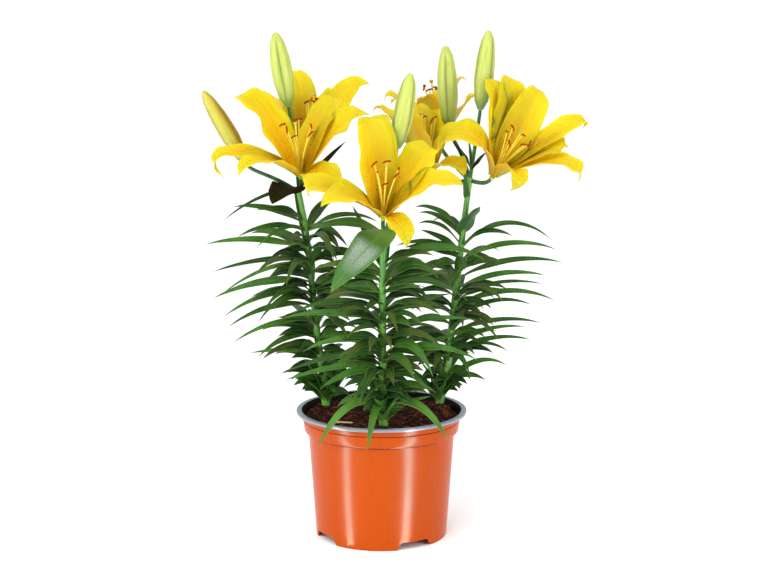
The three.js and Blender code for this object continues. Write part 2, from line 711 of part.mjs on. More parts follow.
function rodSamples(points) {
  const out = [];
  for (let k = 0; k + 1 < points.length; k++) {
    const n = Math.max(1, Math.ceil(len(sub(points[k + 1], points[k])) / SAMPLE_STEP));
    for (let j = 0; j <= n; j++) {
      const t = j / n;
      out.push(add(mul(points[k], 1 - t), mul(points[k + 1], t)));
    }
  }
  return out;
}

// Occupied points in a grid of cells, each with the piece that owns it.
class Room {
  constructor(cell) {
    this.cell = cell;
    this.map = new Map();
  }
  key(x, y, z) {
    return x * 1000003 + y * 1009 + z;
  }
  put(points, owner, grow = 0) {
    for (const p of points) {
      const k = this.key(...p.map((c) => Math.floor(c / this.cell)));
      if (!this.map.has(k)) this.map.set(k, []);
      this.map.get(k).push([p, owner, grow]);
    }
  }
  blocked(points, owner, other, own) {
    for (const p of points) {
      const c = p.map((x) => Math.floor(x / this.cell));
      for (let x = -1; x <= 1; x++)
        for (let y = -1; y <= 1; y++)
          for (let z = -1; z <= 1; z++) {
            const list = this.map.get(this.key(c[0] + x, c[1] + y, c[2] + z));
            if (!list) continue;
            for (const [q, who, grow] of list) {
              const limit = (who === owner ? own : other) + grow;
              if (limit > 0 && len(sub(p, q)) < limit) return true;
            }
          }
    }
    return false;
  }
}
const room = new Room(8);

// Leaves stay above the peat and the lip, and in front of the pot where they hang over it.
function hitsPot(points) {
  for (const p of points) {
    const r = Math.hypot(p[0], p[1]);
    if (r < 78 && p[2] < SOIL_TOP_Z + 5) return true;
    if (r >= 78 && r < 88 && p[2] < 130.5) return true;
  }
  return false;
}

// The broad leaf hangs open to the front: no other leaf passes before it.
function hidesBroad(points) {
  return points.some((p) => p[1] < -60 && p[0] > -46 && p[0] < 12 && p[2] > 262 && p[2] < 322);
}

const STALK_TURN = 9;
function pedicelPoints(plant, from, via, end, axis) {
  const p0 = plant.path(from);
  const curve = bezier(p0, via, sub(end, mul(axis, STALK_TURN)), end);
  const out = [];
  for (let k = 0; k <= 4; k++) out.push(curve(k / 4));
  return out;
}

const byName = {};
for (const plant of PLANTS) {
  byName[plant.name] = plant;
  plant.path = stemPath(plant.stem);
  plant.top = plant.stem[plant.stem.length - 1];
  plant.solids = [];
  const radii = plant.stem.map((p) =>
    mix(plant.radius[0], plant.radius[1], clamp01((p[2] - SOIL_TOP_Z) / 220)),
  );
  plant.solids.push(rodSolid(plant.stem, radii, 5));
  room.put(rodSamples(plant.stem.slice(1)), plant.name, 2);
}

// A petal: it leaves the receptacle along the flower's axis, opens outwards and curls back at its end.
const PETAL_FOOT = 3.3;
const LEAN_INNER_DEG = 31;
const LEAN_OUTER_DEG = 39;
function petalBlade(bloom, spec, order) {
  const axis = bloom.axis;
  const along = dot(spec.tip, axis);
  const out = unit(sub(spec.tip, mul(axis, along)));
  const reach = len(spec.tip);
  const lean = (order % 2 ? LEAN_OUTER_DEG : LEAN_INNER_DEG) * RAD * (bloom.lean || 1);
  const p0 = add(bloom.base, mul(out, PETAL_FOOT));
  const first = add(mul(axis, Math.cos(lean)), mul(out, Math.sin(lean)));
  const arch = spec.arch || 1;
  const p1 = add(p0, mul(first, reach * 0.4 * arch));
  const p3 = add(bloom.base, spec.tip);
  const c = spec.curl * RAD;
  const end = add(mul(out, Math.cos(c)), mul(axis, -Math.sin(c)));
  const p2 = sub(p3, mul(end, reach * 0.34 * arch));
  const seed = bloom.seed * 31 + order;
  const wave = draw(seed) * 6.28;
  return {
    curve: bezier(p0, p1, p2, p3),
    side: cross(axis, out),
    width: (s) => {
      const q = Math.max(0, Math.sin(Math.PI * (0.05 + 0.95 * Math.pow(s, 0.94))));
      return spec.width * Math.pow(q, 0.85);
    },
    lift: (s, u, half) => {
      const cup = 0.42 * (1 - s) + 0.06;
      const ruffle = 0.15 * Math.sin(s * 14 + wave + (u > 0 ? 1.7 : 0)) * clamp01(s * 2.5 - 0.5);
      return half * (cup * u * u + ruffle * Math.abs(u) * Math.abs(u));
    },
    roll: (draw(seed + 0.5) - 0.5) * 0.3 + (spec.turn || 0),
    reach,
  };
}

const BLOOM_ACROSS = [-1, -0.4, 0.4, 1];
const nodes = [];

function bloomSolids(bloom) {
  bloom.axis = unit(bloom.axis);
  const { base, axis } = bloom;
  const foot = sub(base, mul(axis, 5));
  const rod = rodSolid(
    [foot, sub(base, mul(axis, 2)), add(base, mul(axis, 1.2))],
    [2.6, 3.8, 3.9],
    10,
  );
  const parts = [rod];
  bloom.samples = [];
  bloom.petals.forEach((spec, order) => {
    const blade = petalBlade(bloom, spec, order);
    parts.push(bladeSolid(blade, TEPAL_STATIONS, BLOOM_ACROSS, TEPAL_THICK));
    bloom.samples.push(...bladeSamples(blade, blade.reach * 1.2, 0));
  });
  room.put(bloom.samples, "bloom_" + bloom.name);
  bloom.foot = foot;
  return joined(parts);
}

// Six filaments with rocking anthers round a pistil, standing clear in the throat.
const STAMEN_COUNT = 6;
const FILAMENT_LENGTH = 54;
const PISTIL_LENGTH = 60;
const ANTHER_LENGTH = 8.5;
function stamenSolids(bloom) {
  const { base, axis } = bloom;
  const start = add(base, mul(axis, 1.2 + GAP));
  const side = unit(cross(axis, Math.abs(axis[2]) > 0.9 ? [0, 1, 0] : [0, 0, 1]));
  const other = cross(axis, side);
  const parts = [rodSolid([start, add(start, mul(axis, 3))], [2.1, 2.4], 6)];
  const tip = add(start, mul(axis, PISTIL_LENGTH));
  const near = add(start, mul(axis, PISTIL_LENGTH - 2.5));
  parts.push(rodSolid([add(start, axis), near, tip], [0.7, 0.8, 1.8], 4));
  const samples = rodSamples([start, tip]);
  for (let i = 0; i < STAMEN_COUNT; i++) {
    const a = ((i + 0.5) / STAMEN_COUNT) * 2 * Math.PI + bloom.seed;
    const out = add(mul(side, Math.cos(a)), mul(other, Math.sin(a)));
    const splay = mix(0.16, 0.34, draw(bloom.seed * 17 + i)) * (bloom.spread || 1);
    const spread = splay * FILAMENT_LENGTH;
    const high = FILAMENT_LENGTH * mix(0.92, 1.03, draw(bloom.seed * 13 + i));
    const p = [
      add(add(start, mul(out, 1.5)), mul(axis, 1.5)),
      add(add(start, mul(out, spread * 0.42)), mul(axis, high * 0.5)),
      add(add(start, mul(out, spread)), mul(axis, high)),
    ];
    parts.push(rodSolid(p, [0.6, 0.65, 0.6], 3));
    const tilt = mul(axis, 2.2 * (draw(bloom.seed * 5 + i) - 0.5));
    const lean = unit(add(add(cross(axis, out), tilt), mul(out, draw(bloom.seed * 7 + i) - 0.3)));
    const c = add(p[2], mul(axis, 0.4));
    const ends = [sub(c, mul(lean, ANTHER_LENGTH / 2)), add(c, mul(lean, ANTHER_LENGTH / 2))];
    parts.push(rodSolid(ends, [1.05, 0.85], 3));
    samples.push(...rodSamples(p), ...rodSamples(ends));
  }
  room.put(samples, "stamens_" + bloom.name);
  return joined(parts);
}

// A bud: three outer petals closed over the inner ones, so a rounded three-ridged spindle.
const BUD_PROFILE = [[0, 0.26], [0.12, 0.68], [0.38, 0.98], [0.66, 0.94], [0.88, 0.64], [1, 0.2]];
const BUD_SIDES = 9;
function budSolid(bud, index) {
  const way = sub(bud.tip, bud.base);
  const axis = unit(way);
  bud.axis = axis;
  const side = unit(cross(axis, [0, 1, 0]));
  const other = cross(axis, side);
  const v = [];
  const idx = [];
  const turn = 0.5 + index;
  for (const [s, k] of BUD_PROFILE) {
    for (let i = 0; i < BUD_SIDES; i++) {
      const a = (i / BUD_SIDES) * 2 * Math.PI;
      const seam = Math.pow(Math.abs(Math.cos(1.5 * (a - turn))), 6);
      const ridge = 1 - 0.1 * seam * Math.sin(Math.PI * clamp01(s));
      const r = (bud.width / 2) * k * ridge;
      const out = add(mul(side, r * Math.cos(a)), mul(other, r * Math.sin(a)));
      v.push(add(add(bud.base, mul(way, s)), out));
    }
  }
  const rows = BUD_PROFILE.length;
  for (let k = 0; k + 1 < rows; k++)
    for (let i = 0; i < BUD_SIDES; i++) {
      const j = (i + 1) % BUD_SIDES;
      const a = k * BUD_SIDES + i;
      const b = k * BUD_SIDES + j;
      idx.push(a, b, b + BUD_SIDES, a, b + BUD_SIDES, a + BUD_SIDES);
    }
  for (let i = 1; i + 1 < BUD_SIDES; i++) {
    idx.push(0, i + 1, i);
    const o = (rows - 1) * BUD_SIDES;
    idx.push(o, o + i, o + i + 1);
  }
  room.put(rodSamples([bud.base, bud.tip]), bud.name, bud.width / 2);
  return solidFrom(v, idx);
}

BLOOMS.forEach((bloom, i) => {
  bloom.seed = i + 1;
  nodes.push(["bloom_" + bloom.name, bloomSolids(bloom), PETAL_YELLOW, 0.55]);
  nodes.push(["stamens_" + bloom.name, stamenSolids(bloom), 0x9a3a12, 0.6]);
  const plant = byName[bloom.plant];
  const end = sub(bloom.foot, mul(bloom.axis, GAP));
  const top = plant.top;
  const via = bloom.via || add(mul(top, 0.5), mul(sub(end, mul(bloom.axis, 12)), 0.5));
  const points = pedicelPoints(plant, top[2] - 3, via, end, bloom.axis);
  plant.solids.push(rodSolid(points, points.map((_, k) => mix(2.2, 1.9, k / 4)), 5, bloom.axis));
  room.put(rodSamples(points), plant.name, 1.5);
});
BUDS.forEach((bud, i) => {
  nodes.push([bud.name, budSolid(bud, i), 0xbed75a, 0.45]);
  const plant = byName[bud.plant];
  const end = sub(bud.base, mul(bud.axis, GAP));
  const points = pedicelPoints(plant, bud.from || plant.top[2] - 5, bud.via, end, bud.axis);
  plant.solids.push(rodSolid(points, points.map((_, k) => mix(2, 1.7, k / 4)), 5, bud.axis));
  room.put(rodSamples(points), plant.name, 1.5);
});

for (const plant of PLANTS) {
  for (const spec of plant.named) {
    const length = len(sub(spec.tip, plant.path(spec.z))) * 1.12;
    for (let attempt = 0; attempt < NAMED_TRIES; attempt++) {
      const blade = namedLeaf(plant, spec, tipDepth(attempt));
      const samples = bladeSamples(blade, length, spec.z < CLASP_Z ? CLEAR_CLASP : CLEAR_ROOT);
      const own = spec.z < CLASP_Z || attempt > NAMED_TRIES / 2 ? 0 : CLEAR_TWIN;
      if (room.blocked(samples, plant.name, CLEAR_OTHER, own)) continue;
      room.put(samples, plant.name);
      plant.solids.push(bladeSolid(blade, LEAF_STATIONS, [-1, 0, 1], LEAF_THICK));
      break;
    }
  }
}
for (const plant of PLANTS) {
  for (let i = 0; i < plant.leaves.count; i++) {
    let placed = false;
    for (let attempt = 0; attempt < LEAF_TRIES && !placed; attempt++) {
      const blade = spiralLeaf(plant, i, attempt);
      const samples = bladeSamples(blade, blade.length, CLEAR_ROOT);
      if (hitsPot(samples) || hidesBroad(samples)) continue;
      if (room.blocked(samples, plant.name, CLEAR_OTHER, CLEAR_OWN)) continue;
      room.put(samples, plant.name);
      plant.solids.push(bladeSolid(blade, LEAF_STATIONS, [-1, 0, 1], LEAF_THICK));
      placed = true;
    }
  }
  plant.solid = joined(plant.solids);
}

const stemFeet = PLANTS.map((plant) => plant.path(SOIL_TOP_Z));
let soil = soilSolid(stemFeet);
const holes = PLANTS.map((plant) => {
  const upper = plant.path(140);
  const points = [sub(plant.stem[0], [0, 0, STEM_HOLE_CLEAR]), plant.stem[1], upper];
  return rodSolid(points, points.map(() => plant.radius[0] + STEM_HOLE_CLEAR + 0.3), 12);
});
soil = soil.subtract(joined(holes));

addNode("pot", potSolid(), 0xe86226, 0.35);
addNode("soil", soil, 0x3c2014, 0.95);
for (const plant of PLANTS) addNode(plant.name, plant.solid, LEAF_GREEN, 0.55);
for (const [name, solid, color, roughness] of nodes) addNode(name, solid, color, roughness);

export default group;
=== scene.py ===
"""A potted lily in flower and bud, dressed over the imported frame: pot, peat, leafy stems, blooms and buds."""

import logging
import math
from collections.abc import Callable
from dataclasses import dataclass, field
from enum import Enum
from functools import partial

import bmesh
import bpy
import numpy as np
from mathutils import Matrix, Vector


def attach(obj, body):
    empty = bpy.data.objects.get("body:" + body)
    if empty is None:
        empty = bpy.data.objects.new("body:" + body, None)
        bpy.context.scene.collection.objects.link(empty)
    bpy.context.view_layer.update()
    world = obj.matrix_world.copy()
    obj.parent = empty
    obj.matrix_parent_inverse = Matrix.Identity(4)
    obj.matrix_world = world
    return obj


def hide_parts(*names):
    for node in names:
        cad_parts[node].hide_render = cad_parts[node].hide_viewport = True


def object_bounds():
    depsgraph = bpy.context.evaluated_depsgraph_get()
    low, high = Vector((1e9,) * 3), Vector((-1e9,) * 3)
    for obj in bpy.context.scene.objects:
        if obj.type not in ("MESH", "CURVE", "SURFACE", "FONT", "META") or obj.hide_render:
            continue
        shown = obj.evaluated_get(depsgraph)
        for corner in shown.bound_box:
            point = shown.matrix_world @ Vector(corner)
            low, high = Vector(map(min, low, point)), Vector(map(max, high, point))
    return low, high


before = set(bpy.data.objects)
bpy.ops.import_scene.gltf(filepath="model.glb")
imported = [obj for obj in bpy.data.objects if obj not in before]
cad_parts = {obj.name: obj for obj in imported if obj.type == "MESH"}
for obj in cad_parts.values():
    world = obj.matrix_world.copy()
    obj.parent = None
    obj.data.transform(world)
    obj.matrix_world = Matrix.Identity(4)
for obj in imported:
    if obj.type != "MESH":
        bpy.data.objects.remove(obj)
CAD_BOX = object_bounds()
LOG = logging.getLogger("potted_lily")

MM = 0.001
BODY = "root"
GOLDEN_DEG = 137.508
PEAT_TOP = 122.6
SMALLEST_GAP = 0.3
ROOM_CELL = 8
Vec = np.ndarray
Pair = tuple[float, float]
Point = tuple[float, float, float]
Node = bpy.types.Node
NodeTree = bpy.types.NodeTree
Material = bpy.types.Material
Mesh = bpy.types.Mesh
Object = bpy.types.Object
Adder = Callable[..., Node]
Curve = Callable[[Vec], Vec]

# Blender's names for the kinds of node that the trees use most, and settings that many of them share.
MATH, VECTOR_MATH = "ShaderNodeMath", "ShaderNodeVectorMath"
RANGE, MIX = "ShaderNodeMapRange", "ShaderNodeMix"
RAMP, HUE = "ShaderNodeValToRGB", "ShaderNodeHueSaturation"
NOISE, MAPPING, COORDINATES = "ShaderNodeTexNoise", "ShaderNodeMapping", "ShaderNodeTexCoord"
BUMP, ATTRIBUTE = "ShaderNodeBump", "ShaderNodeAttribute"
SEPARATE, COMBINE = "ShaderNodeSeparateXYZ", "ShaderNodeCombineXYZ"
NAMED, STORE = "GeometryNodeInputNamedAttribute", "GeometryNodeStoreNamedAttribute"
TO_CURVE, SWEEP = "GeometryNodeMeshToCurve", "GeometryNodeCurveToMesh"
SET_POSITION, SMOOTH_FACES = "GeometryNodeSetPosition", "GeometryNodeSetShadeSmooth"
REALIZE = "GeometryNodeRealizeInstances"
SMOOTH, COLOUR = {"interpolation_type": "SMOOTHSTEP"}, {"data_type": "RGBA"}
TIMES, PLUS, MINUS = {"operation": "MULTIPLY"}, {"operation": "ADD"}, {"operation": "SUBTRACT"}
ABSOLUTE, SCALE = {"operation": "ABSOLUTE"}, {"operation": "SCALE"}


def linear(hex_colour: str) -> tuple[float, float, float, float]:
    """Turns an sRGB hex colour into a linear one.

    Args:
        hex_colour: Six hex digits with a leading hash.

    Returns:
        Red, green, blue and alpha, as Blender's sockets take them.
    """
    parts = [int(hex_colour[i : i + 2], 16) / 255 for i in (1, 3, 5)]
    line = [c / 12.92 if c <= 0.04045 else ((c + 0.055) / 1.055) ** 2.4 for c in parts]
    return line[0], line[1], line[2], 1.0


def draw(seed: float) -> float:
    """Gives a repeatable number between 0 and 1 for each seed, as the solids' source does."""
    value = math.sin(seed * 12.9898 + 78.233) * 43758.5453
    return value - math.floor(value)


def vec(values: list[float] | tuple[float, ...]) -> Vec:
    """Makes a vector of numbers."""
    return np.array(values, float)


def unit(a: Vec) -> Vec:
    """Scales a vector, or each row of vectors, to length one."""
    size = np.linalg.norm(a, axis=-1, keepdims=True)
    return a / np.where(size > 0, size, 1.0)


def mix(a: float, b: float, t: float) -> float:
    """Blends two numbers."""
    return a + (b - a) * t


def heading(degrees: float) -> Vec:
    """Gives the level direction at an angle from +X towards +Y."""
    return vec([math.cos(math.radians(degrees)), math.sin(math.radians(degrees))])


def bezier(p0: Vec, p1: Vec, p2: Vec, p3: Vec) -> Curve:
    """Makes a cubic curve.

    Args:
        p0: Its start.
        p1: The first handle.
        p2: The second handle.
        p3: Its end.

    Returns:
        A function from rows of s to rows of points.
    """

    def at(s: Vec) -> Vec:
        """Gives the points at each s."""
        t = np.atleast_1d(np.asarray(s, float))[:, None]
        q = 1 - t
        return q**3 * p0 + 3 * q * q * t * p1 + 3 * q * t * t * p2 + t**3 * p3

    return at


def add_node(tree: NodeTree, kind: str, sockets: dict | tuple = (), settings: dict | None = None) -> Node:
    """Adds a node with its settings, values and links.

    Args:
        tree: The tree that gets it.
        kind: Blender's name of the node's type.
        sockets: The inputs in their order, or by name or number. Each is a value, a hex colour, a
            socket, or a node whose first output in use is linked.
        settings: Properties to set; "stops" lists a colour ramp's places and hex colours.

    Returns:
        The new node.
    """
    node = tree.nodes.new(kind)
    for key, value in (settings or {}).items():
        if key == "stops":
            while len(node.color_ramp.elements) < len(value):
                node.color_ramp.elements.new(0.5)
            for element, (place, colour) in zip(node.color_ramp.elements, value):
                element.position = place
                element.color = linear(colour)
        else:
            setattr(node, key, value)
    for key, value in sockets.items() if isinstance(sockets, dict) else enumerate(sockets):
        if isinstance(value, bpy.types.Node):
            value = next(output for output in value.outputs if output.enabled)
        if isinstance(value, bpy.types.NodeSocket):
            tree.links.new(value, node.inputs[key])
        else:
            is_colour = isinstance(value, str) and value.startswith("#")
            node.inputs[key].default_value = linear(value) if is_colour else value
    return node


def new_shape_tree(name: str, inputs: dict[str, tuple[str, object]]) -> tuple[NodeTree, Adder, Node]:
    """Starts a Geometry Nodes tree with named inputs.

    Args:
        name: The tree's name.
        inputs: Input name to its kind and its default; the geometry itself is always there.

    Returns:
        The tree, the adder of its nodes, and its input node.
    """
    tree = bpy.data.node_groups.new(name, "GeometryNodeTree")
    for way in ("INPUT", "OUTPUT"):
        tree.interface.new_socket("Geometry", in_out=way, socket_type="NodeSocketGeometry")
    for key, (kind, value) in inputs.items():
        socket = tree.interface.new_socket(key, in_out="INPUT", socket_type="NodeSocket" + kind)
        if value is not None:
            socket.default_value = value
    tree.interface.new_socket("Material", in_out="INPUT", socket_type="NodeSocketMaterial")
    return tree, partial(add_node, tree), add_node(tree, "NodeGroupInput")


def end_shape_tree(add: Adder, given: Node, shape: Node) -> None:
    """Ends a Geometry Nodes tree: real meshes in the material that is asked for.

    Args:
        add: The adder of its nodes.
        given: Its input node.
        shape: The node that holds the shape so far.
    """
    real = add(REALIZE, {"Geometry": shape})
    coloured = add("GeometryNodeSetMaterial", {"Geometry": real, "Material": given.outputs["Material"]})
    add("NodeGroupOutput", {"Geometry": coloured})


def placed(name: str, data: bpy.types.ID) -> Object:
    """Makes an object and puts it into the scene.

    Args:
        name: Its name.
        data: Its mesh, light or camera.

    Returns:
        The object, at the origin.
    """
    item = bpy.data.objects.new(name, data)
    bpy.context.scene.collection.objects.link(item)
    return item


def piece_of(name: str, mesh: Mesh, slot: str, *nodes: str) -> Object:
    """Links a finished mesh as a piece of the plant.

    Args:
        name: The piece's name.
        mesh: Its mesh, in metres, in the frame of the solids.
        slot: The record's material slot; not used.
        nodes: The solids that it stands for, if any.

    Returns:
        The new object, at the origin.
    """
    piece = placed(name, mesh)
    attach(piece, BODY)
    if nodes:
        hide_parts(*nodes)
    LOG.info("%s: %d faces", name, len(mesh.polygons))
    return piece


def new_mesh(name: str, points: Vec | list, edges: list, faces: list) -> Mesh:
    """Makes a mesh from points in millimetres.

    Args:
        name: Its name.
        points: Rows of points.
        edges: Pairs of their numbers.
        faces: Loops of their numbers.

    Returns:
        The mesh, in metres.
    """
    mesh = bpy.data.meshes.new(name)
    mesh.from_pydata((np.asarray(points, float) * MM).tolist(), edges, faces)
    return mesh


def store(mesh: Mesh, name: str, rows: Vec) -> None:
    """Keeps a number or a vector on each point of a mesh.

    Args:
        mesh: The mesh.
        name: The attribute's name.
        rows: One number, or one row of three, for each point.
    """
    rows = np.asarray(rows, np.float32)
    kind, key = ("FLOAT", "value") if rows.ndim == 1 else ("FLOAT_VECTOR", "vector")
    mesh.attributes.new(name, kind, "POINT").data.foreach_set(key, rows.ravel())


def face_out(mesh: Mesh) -> None:
    """Turns a closed mesh's faces round if they point inwards.

    Args:
        mesh: The mesh to test.
    """
    mesh.calc_loop_triangles()
    corners = np.empty(len(mesh.loop_triangles) * 3, np.int32)
    mesh.loop_triangles.foreach_get("vertices", corners)
    places = np.empty(len(mesh.vertices) * 3)
    mesh.vertices.foreach_get("co", places)
    tri = places.reshape(-1, 3)[corners.reshape(-1, 3)]
    if np.einsum("ij,ij->i", tri[:, 0], np.cross(tri[:, 1], tri[:, 2])).sum() < 0:
        mesh.flip_normals()


def shaded(mesh: Mesh, sharp_deg: float = 180.0) -> None:
    """Shades a mesh smooth, with sharp edges where its faces turn by more than an angle.

    Args:
        mesh: The mesh to shade.
        sharp_deg: The angle.
    """
    for face in mesh.polygons:
        face.use_smooth = True
    if sharp_deg < 180:
        mesh.set_sharp_from_angle(angle=math.radians(sharp_deg))


@dataclass(frozen=True)
class Finish:
    """A material's name and how rough it is."""

    name: str
    roughness: float

    def surface(self, add: Adder) -> dict:
        """Adds the finish's own nodes.

        Args:
            add: The adder of the material's nodes.

        Returns:
            The shader's inputs.
        """
        raise NotImplementedError

    def build(self) -> Material:
        """Builds the material.

        Returns:
            The material.
        """
        material = bpy.data.materials.new(self.name)
        material.use_nodes = True
        material.node_tree.nodes.clear()
        add = partial(add_node, material.node_tree)
        sockets = {"Roughness": self.roughness, **self.surface(add)}
        shader = add("ShaderNodeBsdfPrincipled", sockets)
        add("ShaderNodeOutputMaterial", {"Surface": shader})
        return material

    @staticmethod
    def depth(weight: float, radius: Point) -> dict:
        """Gives the shader's inputs for light that sinks into a living skin."""
        return {"Subsurface Weight": weight, "Subsurface Radius": radius, "Subsurface Scale": 1.0}


@dataclass(frozen=True)
class BladeFinish(Finish):
    """What leaves and petals share: how they read their places along and across, and their grain."""

    def ground(self, add: Adder) -> tuple:
        """Reads the blade's own places.

        Args:
            add: The adder of the material's nodes.

        Returns:
            The place along the blade, the distance from its midrib, its grain and its upper side.
        """
        parts = add(SEPARATE, (add("ShaderNodeUVMap", (), {"uv_map": "UVMap"}),))
        across = add(RANGE, (parts.outputs["X"], 0.0, 1.0, -1.0, 1.0))
        grain = add(ATTRIBUTE, (), {"attribute_name": "grain"}).outputs["Vector"]
        upper = add(ATTRIBUTE, (), {"attribute_name": "upper"}).outputs["Fac"]
        return parts.outputs["Y"], add(MATH, (across,), ABSOLUTE), grain, upper


@dataclass(frozen=True)
class LeafFinish(BladeFinish):
    """Living leaf: a waxy green skin with a pale midrib, fine ribs along it and a thin light edge."""

    shade: str = "#0A1B06"
    dark: str = "#1A360E"
    face: str = "#2C5416"
    young: str = "#488024"
    midrib: str = "#5F8A3C"
    edge: str = "#6B9A50"
    under: str = "#345E28"
    foot: str = "#7C9E48"
    olive: str = "#46501A"
    # Painted sheen: the silver stands in for the light that the broad leaf reflects.
    silver: str = "#8A968C"
    brown: str = "#241C04"
    dry: str = "#8A7A3C"
    rib_mm: float = 1.1
    specular: float = 0.17

    def surface(self, add: Adder) -> dict:
        """Adds the leaf's nodes.

        Args:
            add: The adder of the material's nodes.

        Returns:
            The shader's inputs.
        """
        along, side, grain, upper = self.ground(add)
        tone = add(ATTRIBUTE, (), {"attribute_name": "tone"}).outputs["Fac"]
        # The tone runs from dark leaves to bright young ones, in soft patches; its lowest tones are painted
        # shade for the leaves deep inside the plant.
        stops = [(0.0, self.shade), (0.25, self.dark), (0.55, self.face), (1.0, self.young)]
        cloud = add(NOISE, {"Vector": grain, "Scale": 0.07, "Detail": 3.0})
        dapple = add(RANGE, (cloud, 0.35, 0.65, 0.82, 1.18))
        skin = add(HUE, {"Color": add(RAMP, (tone,), {"stops": stops}), "Value": dapple})
        # Some leaves age towards olive brown.
        age = add(NOISE, {"Vector": grain, "Scale": 0.013, "Detail": 1.0})
        aged = add(RANGE, (age, 0.48, 0.62, 0.0, 0.55), SMOOTH)
        skin = add(MIX, {0: aged, 6: skin, 7: self.olive}, COLOUR)
        # Ribs run the length of the blade, about a millimetre apart.
        squeeze = add(MAPPING, {"Vector": grain, "Scale": (1 / self.rib_mm, 0.02, 1.0)})
        ribs = add(NOISE, {"Vector": squeeze, "Scale": 1.0, "Detail": 2.0})
        rib_light = add(RANGE, (ribs, 0.3, 0.7, 0.9, 1.12))
        skin = add(HUE, {"Color": skin, "Value": rib_light})
        bump = add(BUMP, {"Height": ribs, "Strength": 0.35, "Distance": 0.0005})
        under = add(RANGE, (upper, 0.1, -0.1, 0.0, 0.75), SMOOTH)
        spine = add(RANGE, (side, 0.02, 0.13, 0.34, 0.0), SMOOTH)
        rim = add(RANGE, (side, 0.88, 1.0, 0.0, 0.4), SMOOTH)
        # Tips turn straw-coloured as they dry, and the foot that clasps the stem is pale.
        tip = add(RANGE, (along, 0.95, 1.0, 0.0, 0.5), SMOOTH)
        clasp = add(MATH, (add(RANGE, (along, 0.05, 0.45, 0.9, 0.0), SMOOTH), tone), TIMES)
        # The broad leaf's painted sheen is a speckled silver, standing in for the light that it reflects,
        # between its foot and its tip, off its midrib and its edges.
        sheen_and_age = add(ATTRIBUTE, (), {"attribute_name": "silver"}).outputs["Fac"]
        speck = add(NOISE, {"Vector": grain, "Scale": 1.4, "Detail": 1.0})
        painted_sheen = add(RANGE, (along, 0.32, 0.46, 0.0, 1.0), SMOOTH)
        for factor in (
            add(RANGE, (along, 0.82, 0.55, 0.05, 1.0), SMOOTH),
            sheen_and_age,
            add(RANGE, (speck, 0.35, 0.65, 0.35, 1.0)),
            add(RANGE, (side, 0.0, 0.09, 0.25, 1.0)),
            add(RANGE, (side, 0.5, 0.98, 1.0, 0.1), SMOOTH),
        ):
            painted_sheen = add(MATH, (painted_sheen, factor), TIMES)
        # Leaves with a negative silver value are the old, olive-brown ones under the flowers.
        old = add(MATH, (sheen_and_age, -0.8), TIMES)
        for share, colour in (
            (under, self.under), (spine, self.midrib), (rim, self.edge), (tip, self.dry),
            (clasp, self.foot), (painted_sheen, self.silver), (old, self.brown),
        ):
            skin = add(MIX, {0: share, 6: skin, 7: colour}, COLOUR)
        return {
            "Base Color": skin, "Normal": bump, "Specular IOR Level": self.specular,
            **self.depth(0.08, (0.0012, 0.002, 0.0004)),
        }


